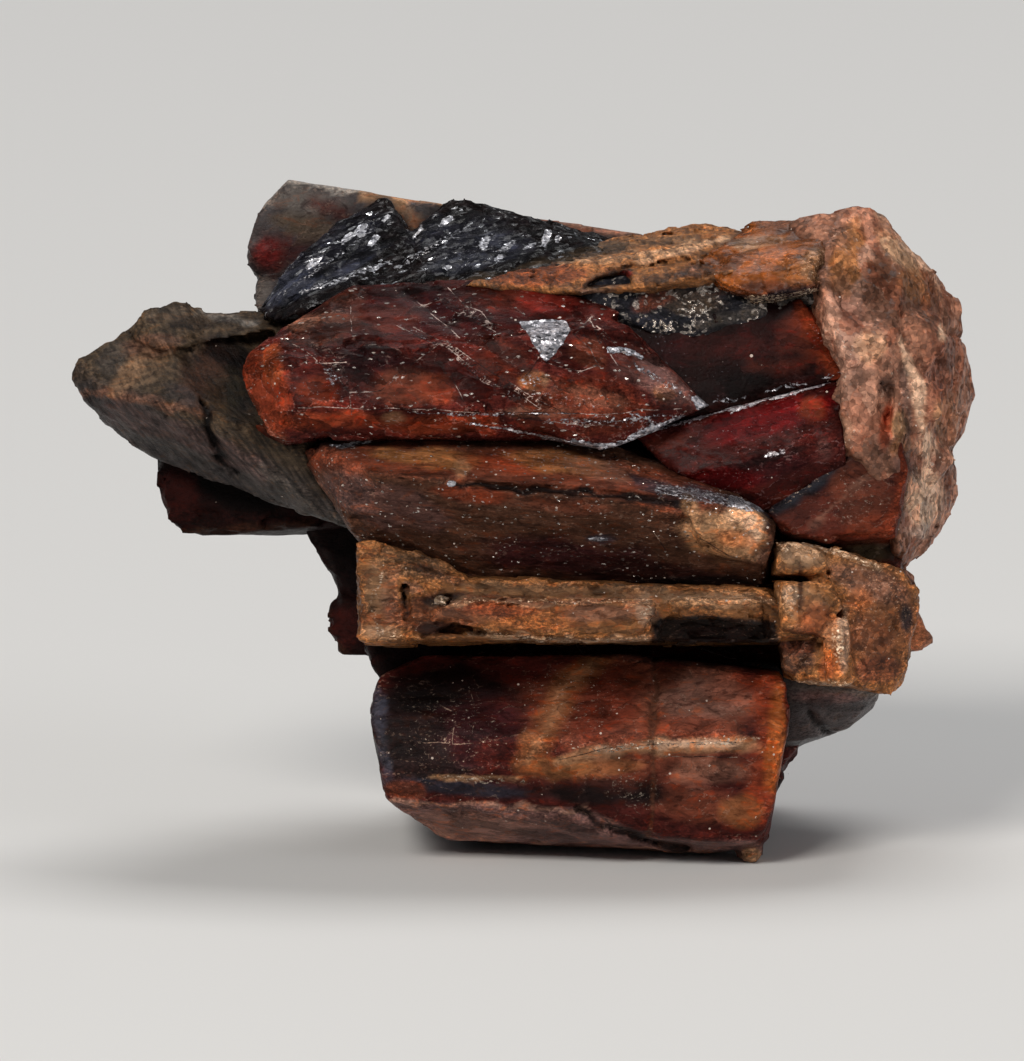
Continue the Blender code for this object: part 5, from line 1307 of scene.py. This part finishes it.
            ("soot", 0.6, [792, 705, 850, 708, 870, 704], 6),
            ("pitch", 0.9, [808, 712, 816, 722, 828, 732], 5), ("slate", 0.6, 800, 725, 14, 10)],
        stone=dict(rough=0.3, specks=0.03, mottle=(0.75, 1.3)),
    ),
    "lower_block": dict(
        members=["lower_block", "foot_lump"], voxel=0.16, base="garnet",
        layers=[("swell", 0.06, (0.2, 0.4, 0.4)), ("laths", 0.05, (0.03, 0.6, 1.1)),
            ("facets", 0.04, (0.3, 1.2, 1.2)), ("rough", 0.018, (1.3, 2.6, 2.6)),
            ("chips", 0.35, (0.9, 1.5, 1.5))],
        grooves=[([656, 655, 655, 700, 652, 760, 650, 835], 3.5, 0.22),
            ([575, 808, 610, 828, 655, 842, 690, 848], 4, 0.35)],
        strokes=[("rust", 0.85, 640, 720, 110, 70), ("soot", 0.9, 425, 735, 66, 56),
            ("pitch", 0.9, 440, 690, 70, 24), ("steel", 0.45, [376, 690, 382, 740, 388, 782], 9),
            ("wine", 0.9, 480, 730, 46, 34), ("garnet", 0.8, 502, 755, 26, 18),
            ("brick", 0.8, 600, 700, 40, 34, -20), ("garnet", 0.6, 580, 672, 30, 18, -20),
            ("ochre", 0.35, [606, 652, 566, 688, 545, 728, 526, 760], 20),
            ("tan", 0.25, [604, 654, 566, 690, 546, 728, 528, 756], 7), ("ochre", 0.4, 560, 766, 30, 10),
            ("rosewood", 0.7, 700, 700, 42, 26), ("ember", 0.4, 735, 690, 30, 18),
            ("clay", 0.3, 700, 698, 56, 30), ("ember", 0.4, 690, 725, 40, 10),
            ("ochre", 0.35, 600, 768, 46, 8, -4), ("soot", 0.6, 616, 790, 50, 12),
            ("clay", 0.4, 706, 772, 40, 14), ("rust", 0.8, 700, 806, 50, 18),
            # painted highlight: the tan and cream lines run along the ridge's edge
            ("tan", 0.6, [556, 762, 600, 752, 660, 747, 752, 745], 9),
            ("cream", 0.4, [600, 750, 680, 744, 740, 744], 4),
            # painted glow: the ember, amber and flame at the right end are partly its own orange and partly
            # light shining through the thin end
            ("ember", 0.7, [768, 684, 772, 740, 758, 806], 22), ("amber", 0.5, 776, 740, 10, 60, 3),
            ("flame", 0.3, 779, 730, 6, 46, 3), ("ochre", 0.4, 742, 810, 20, 16),
            ("soot", 0.8, 600, 796, 70, 9, 4), ("ink", 0.9, 455, 788, 66, 8, 4),
            ("rust", 0.8, 404, 790, 22, 9, 4), ("pitch", 0.6, 650, 790, 14, 14),
            ("tan", 0.7, [430, 776, 480, 778, 520, 778], 4),
            ("mauve", 0.98, [380, 800, 586, 809, 652, 840, 652, 872, 380, 872]),
            ("mauve", 0.9, [640, 838, 765, 843, 765, 872, 640, 872]), ("clay", 0.35, 470, 826, 80, 14, 4),
            ("rosewood", 0.5, 560, 828, 50, 12, 10),
            ("clay", 0.5, [430, 838, 520, 848, 640, 852, 750, 856], 5),
            ("blush", 0.5, [392, 802, 470, 805, 586, 810], 2.5),
            ("pitch", 0.9, [575, 808, 610, 828, 655, 842, 690, 848], 4),
            ("umber", 0.7, [656, 655, 655, 700, 652, 760, 650, 835], 4), ("tan", 0.8, 752, 856, 10, 8),
            # painted shadow: the soot along the top is the shade under the ledge
            ("soot", 0.7, 660, 656, 120, 8, 4)],
        cracks=[[560, 760, 605, 748, 660, 744, 748, 741], [665, 757, 735, 756],
            [470, 690, 476, 715, 472, 730], [440, 706, 455, 715, 452, 740], [425, 742, 470, 744]],
        flakes_and_glints=[(521, 783, 4, 8, 0, 0.7), (480, 780, 50, 5, 4, 0.42), (660, 744, 110, 6, -3, 0.41),
            (640, 790, 40, 24, 0, 0.36), (450, 730, 70, 50, 0, 0.35), (570, 700, 60, 50, 0, 0.355),
            ([600, 750, 680, 744, 748, 744], 3, 0.45)],
        stone=dict(rough=0.4, shine=0.05, streak=0.1, streak_scale=(0.35, 5, 5), warm=(1.5, 1, 0.7),
            mottle=(0.55, 1.5), specks=0.7, speck_scale=2.2, bump=0.015, grain=0.14, domains=0.25,
            domain_scale=(0.6, 1.2, 1.2), seams=0.25, flake_and_glint_tones=((0.1, 0.07, 0.05), (0.6, 0.5, 0.4))),
    ),
    "rear_splinters": dict(
        members=["rear_splinter_upper", "rear_splinter_lower", "rear_neck"], voxel=0.17, base="oxblood",
        gain=0.5, layers=BLOCKY,
        strokes=[("garnet", 0.8, 342, 628, 18, 20), ("slate", 0.5, [306, 528, 330, 560, 338, 600], 4),
            ("umber", 0.6, [326, 610, 330, 640, 345, 656], 5), ("pitch", 0.7, 350, 560, 20, 30)],
        stone=dict(rough=0.35, shine=0.03, grain=0.12, specks=0.03),
    ),
    "back_crystals": dict(
        members=["back_prism", "back_foot_prism", "back_lath"], voxel=0.22, base="garnet", behind=True,
        layers=[("swell", 0.1, (0.2, 0.4, 0.4)), ("laths", 0.2, (0.05, 0.5, 0.7)),
            ("facets", 0.16, (0.3, 0.8, 0.8), 4), ("rough", 0.03, (1, 2, 2)), ("chips", 0.5, (0.6, 1, 1))],
        grooves=[([330, 470, 600, 482, 880, 468], 5, 0.35), ([420, 704, 600, 690, 780, 706], 4, 0.3),
            ([610, 380, 604, 460], 4, 0.3), ([560, 600, 570, 690], 4, 0.3)],
        strokes=[("ember", 0.7, 720, 430, 120, 26, 3), ("rust", 0.7, 470, 450, 90, 34, 5),
            ("wine", 0.8, 600, 530, 130, 26), ("ochre", 0.5, 840, 450, 40, 60),
            ("soot", 0.8, 380, 410, 60, 26), ("rosewood", 0.7, 560, 400, 100, 18),
            ("pitch", 0.8, [340, 566, 600, 574, 880, 562], 9), ("ember", 0.6, 660, 636, 80, 26),
            ("brick", 0.8, 520, 720, 70, 50), ("ochre", 0.5, 720, 716, 40, 60, 10),
            ("tan", 0.5, [500, 606, 640, 602, 780, 608], 5), ("soot", 0.8, 620, 790, 110, 26),
            ("slate", 0.6, 470, 800, 50, 26), ("mauve", 0.6, 740, 500, 90, 12, -3),
            ("tan", 0.4, [360, 500, 520, 506, 700, 498], 5), ("ash", 0.4, 800, 400, 60, 8, 4)],
        flakes_and_glints=[(620, 440, 180, 60, 0, 0.34), (560, 690, 130, 70, 0, 0.35), (430, 470, 50, 10, 8, 0.45),
            ([360, 524, 600, 532, 860, 520], 6, 0.42), (690, 660, 16, 10, 20, 0.7)],
        cracks=[[400, 420, 470, 448, 560, 466], [700, 396, 736, 450, 752, 520],
            [560, 620, 600, 680, 612, 750], [680, 640, 730, 660, 800, 650], [450, 520, 530, 544],
            [470, 448, 500, 410], [736, 450, 790, 440], [600, 680, 640, 700]],
        stone=dict(rough=0.35, shine=0.06, domains=0.5, domain_scale=(0.35, 0.9, 0.9), seams=0.3,
            tones=((1.4, 1.15, 1), (0.6, 0.5, 0.5)), streak=0.15, grain=0.15, bump=0.015,
            warm=(1.7, 1.15, 0.8), mottle=(0.55, 1.6), specks=0.4, speck_scale=2,
            crack_tone=(0.45, 0.34, 0.3)),
    ),
    "granular_base": dict(
        members=["base_upper", "base_middle", "base_lower"], voxel=0.16, base="clay", gain=0.92,
        layers=GRANULAR,
        strokes=[("umber", 0.55, 915, 285, 60, 44, 30), ("ochre", 0.8, 850, 258, 18, 38, 12),
            ("clay", 0.6, 830, 235, 18, 14), ("blush", 0.9, [868, 212, 873, 232, 864, 264, 854, 300], 6),
            ("sand", 0.75, 900, 250, 28, 11, 42), ("umber", 0.7, 880, 282, 18, 22, 20),
            ("ochre", 0.5, 920, 285, 24, 18, 30), ("mauve", 0.4, 845, 330, 20, 46, -10),
            ("blush", 0.6, 836, 345, 12, 30, -15), ("blush", 0.4, 850, 420, 16, 34),
            ("rust", 0.35, 945, 390, 26, 66), ("tan", 0.6, 952, 420, 18, 30, 10),
            ("cream", 0.8, 944, 332, 5, 9),
            ("cream", 0.8, [903, 342, 912, 370, 920, 400, 928, 440, 932, 470], 7),
            ("soot", 0.75, 888, 388, 10, 15), ("ember", 0.8, 886, 425, 7, 22, 8),
            ("tan", 0.9, 900, 424, 8, 13), ("ochre", 0.6, 900, 448, 8, 8),
            ("slate", 0.6, 906, 400, 5, 36, -5), ("mauve", 0.6, 905, 490, 12, 40),
            ("blush", 0.45, 852, 385, 24, 60, -8), ("blush", 0.7, 836, 330, 8, 36, -12),
            ("cream", 0.5, 842, 430, 12, 18), ("sand", 0.4, 870, 345, 16, 16, 20),
            ("rust", 0.5, 945, 375, 12, 30), ("ember", 0.3, 950, 430, 10, 20),
            ("cream", 0.5, 928, 445, 18, 12), ("cream", 0.95, 928, 500, 26, 30),
            # painted glow: the cream lines along the right and upper right rims are light shining through
            # the thin rim
            ("cream", 0.6, [962, 320, 970, 380, 958, 450, 960, 500], 5),
            ("cream", 0.6, [880, 212, 915, 250, 960, 300], 5), ("pale", 0.5, 928, 532, 20, 8)],
        flakes_and_glints=[(840, 345, 16, 50, -12, 0.37), (850, 430, 12, 20, 0, 0.38), (905, 400, 30, 60, 0, 0.34),
            (930, 480, 16, 40, 0, 0.37), (840, 240, 30, 20, 0, 0.35)],
        stone=dict(rough=0.36, shine=0.06, bump=0.012, grain=0.1, grain_scale=(3, 3, 3), facet=0.45,
            facet_scale=(4.2, 4.2, 4.2), warm=(1.08, 0.97, 0.92),
            flake_and_glint_tones=((0.4, 0.27, 0.2), (0.75, 0.6, 0.5)), mottle=(0.72, 1.4), specks=0.4, domains=0.2,
            domain_scale=(0.9, 0.9, 0.7), seams=0.15, crack_tone=(0.5, 0.36, 0.28),
            tones=((1.3, 1.25, 1.2), (1, 0.82, 0.74)), dark=(0.8, 0.68, 0.64), edge_wear_and_highlight=0.3),
    ),
}
PIECES["granular_base"]["members"] += [name for name in crystals if name.startswith("grain_")]

HIDDEN_SHADE = 0.45  # how much darker the painted shade makes the stone where it goes in among the other crystals

for number, (name, facts) in enumerate(PIECES.items()):
    piece = Piece(name, facts["members"], facts["voxel"], facts["layers"], 100 * number + 3,
                  facts.get("grooves", ()), facts.get("behind", False))
    made, places = piece.build()
    tint = painted(places, facts["base"], facts["strokes"], piece.seed, piece.marked(places))
    tint *= facts.get("gain", 1.0)
    # painted shade: the stone is darkened where it goes in among the other crystals
    contact_shade = ramp(buried(places, piece.members), *SHADE_FADE)
    tint *= (1 - HIDDEN_SHADE * contact_shade)[:, None]
    set_colours(made.data, "tint", np.column_stack([tint, np.ones(len(tint))]))
    values = surface_values(places, piece, facts.get("flakes_and_glints", ()), facts.get("cracks", ()))
    set_colours(made.data, "surface", values)
    made.data.materials.append(stone(name, flaked_and_glinting="flakes_and_glints" in facts, cracked="cracks" in facts,
                                     **facts["stone"]))
    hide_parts(NODE)
    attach(made, "root")


# Floor, light and camera

FLOOR_DROP = -0.00002  # so that the foot and the floor don't share a plane
LENS_MM = 900
SENSOR_MM = 36
CAMERA_REACH = 20

floor_mesh = bpy.data.meshes.new("floor")
shape = bmesh.new()
bmesh.ops.create_grid(shape, x_segments=8, y_segments=8, size=3.0)
shape.to_mesh(floor_mesh)
shape.free()
floor = bpy.data.objects.new("floor", floor_mesh)
floor.location.z = FLOOR_DROP
bpy.context.scene.collection.objects.link(floor)
paper = bpy.data.materials.new("paper")
paper.use_nodes = True
paper_shader = paper.node_tree.nodes["Principled BSDF"]
paper_shader.inputs["Base Color"].default_value = (0.7, 0.69, 0.67, 1)
paper_shader.inputs["Roughness"].default_value = 0.8
floor_mesh.materials.append(paper)

world = bpy.data.worlds.new("studio")
world.use_nodes = True
background = world.node_tree.nodes["Background"]
background.inputs["Color"].default_value = (0.93, 0.95, 1.0, 1)
background.inputs["Strength"].default_value = 0.16
bpy.context.scene.world = world


def soft_light(name, place, aim, size, power, tone=(1, 1, 1)):
    """A square soft light; place, aim and size in metres."""
    lamp = bpy.data.lights.new(name, "AREA")
    lamp.shape = "RECTANGLE"
    lamp.size, lamp.size_y = size
    lamp.energy = power
    lamp.color = tone
    made = bpy.data.objects.new(name, lamp)
    made.location = place
    made.rotation_euler = (Vector(aim) - Vector(place)).to_track_quat("-Z", "Y").to_euler()
    bpy.context.scene.collection.objects.link(made)


soft_light("key", (-0.34, -0.72, 0.62), (0, 0, 0.016), (0.36, 0.28), 7.0, (1, 0.97, 0.93))
soft_light("top", (0.1, 0.35, 0.9), (0, 0.1, 0.018), (0.5, 0.4), 4.2)
soft_light("fill", (0.8, -0.5, 0.35), (0, 0, 0.016), (0.4, 0.4), 1.8, (0.93, 0.96, 1))

view = bpy.data.cameras.new("camera")
view.lens = LENS_MM
view.sensor_width = SENSOR_MM
view.clip_end = CAMERA_REACH
distance = PHOTO_HEIGHT / PIXELS_PER_MM * LENS_MM / SENSOR_MM
lean = math.radians(LEAN_BACK_DEG)
middle_right = (PHOTO_WIDTH / 2 - PIXEL_RIGHT) / PIXELS_PER_MM
middle_up = (PIXEL_UP - PHOTO_HEIGHT / 2) / PIXELS_PER_MM
aim = leaned(np.array([[middle_right, 0.0, middle_up]]))[0]
camera = bpy.data.objects.new("camera", view)
camera.location = Vector(aim) - Vector((0, math.cos(lean), -math.sin(lean))) * distance * MM
camera.rotation_euler = (math.radians(90) - lean, 0, 0)
bpy.context.scene.collection.objects.link(camera)
bpy.context.scene.camera = camera

bpy.context.scene.view_settings.view_transform = "Standard"
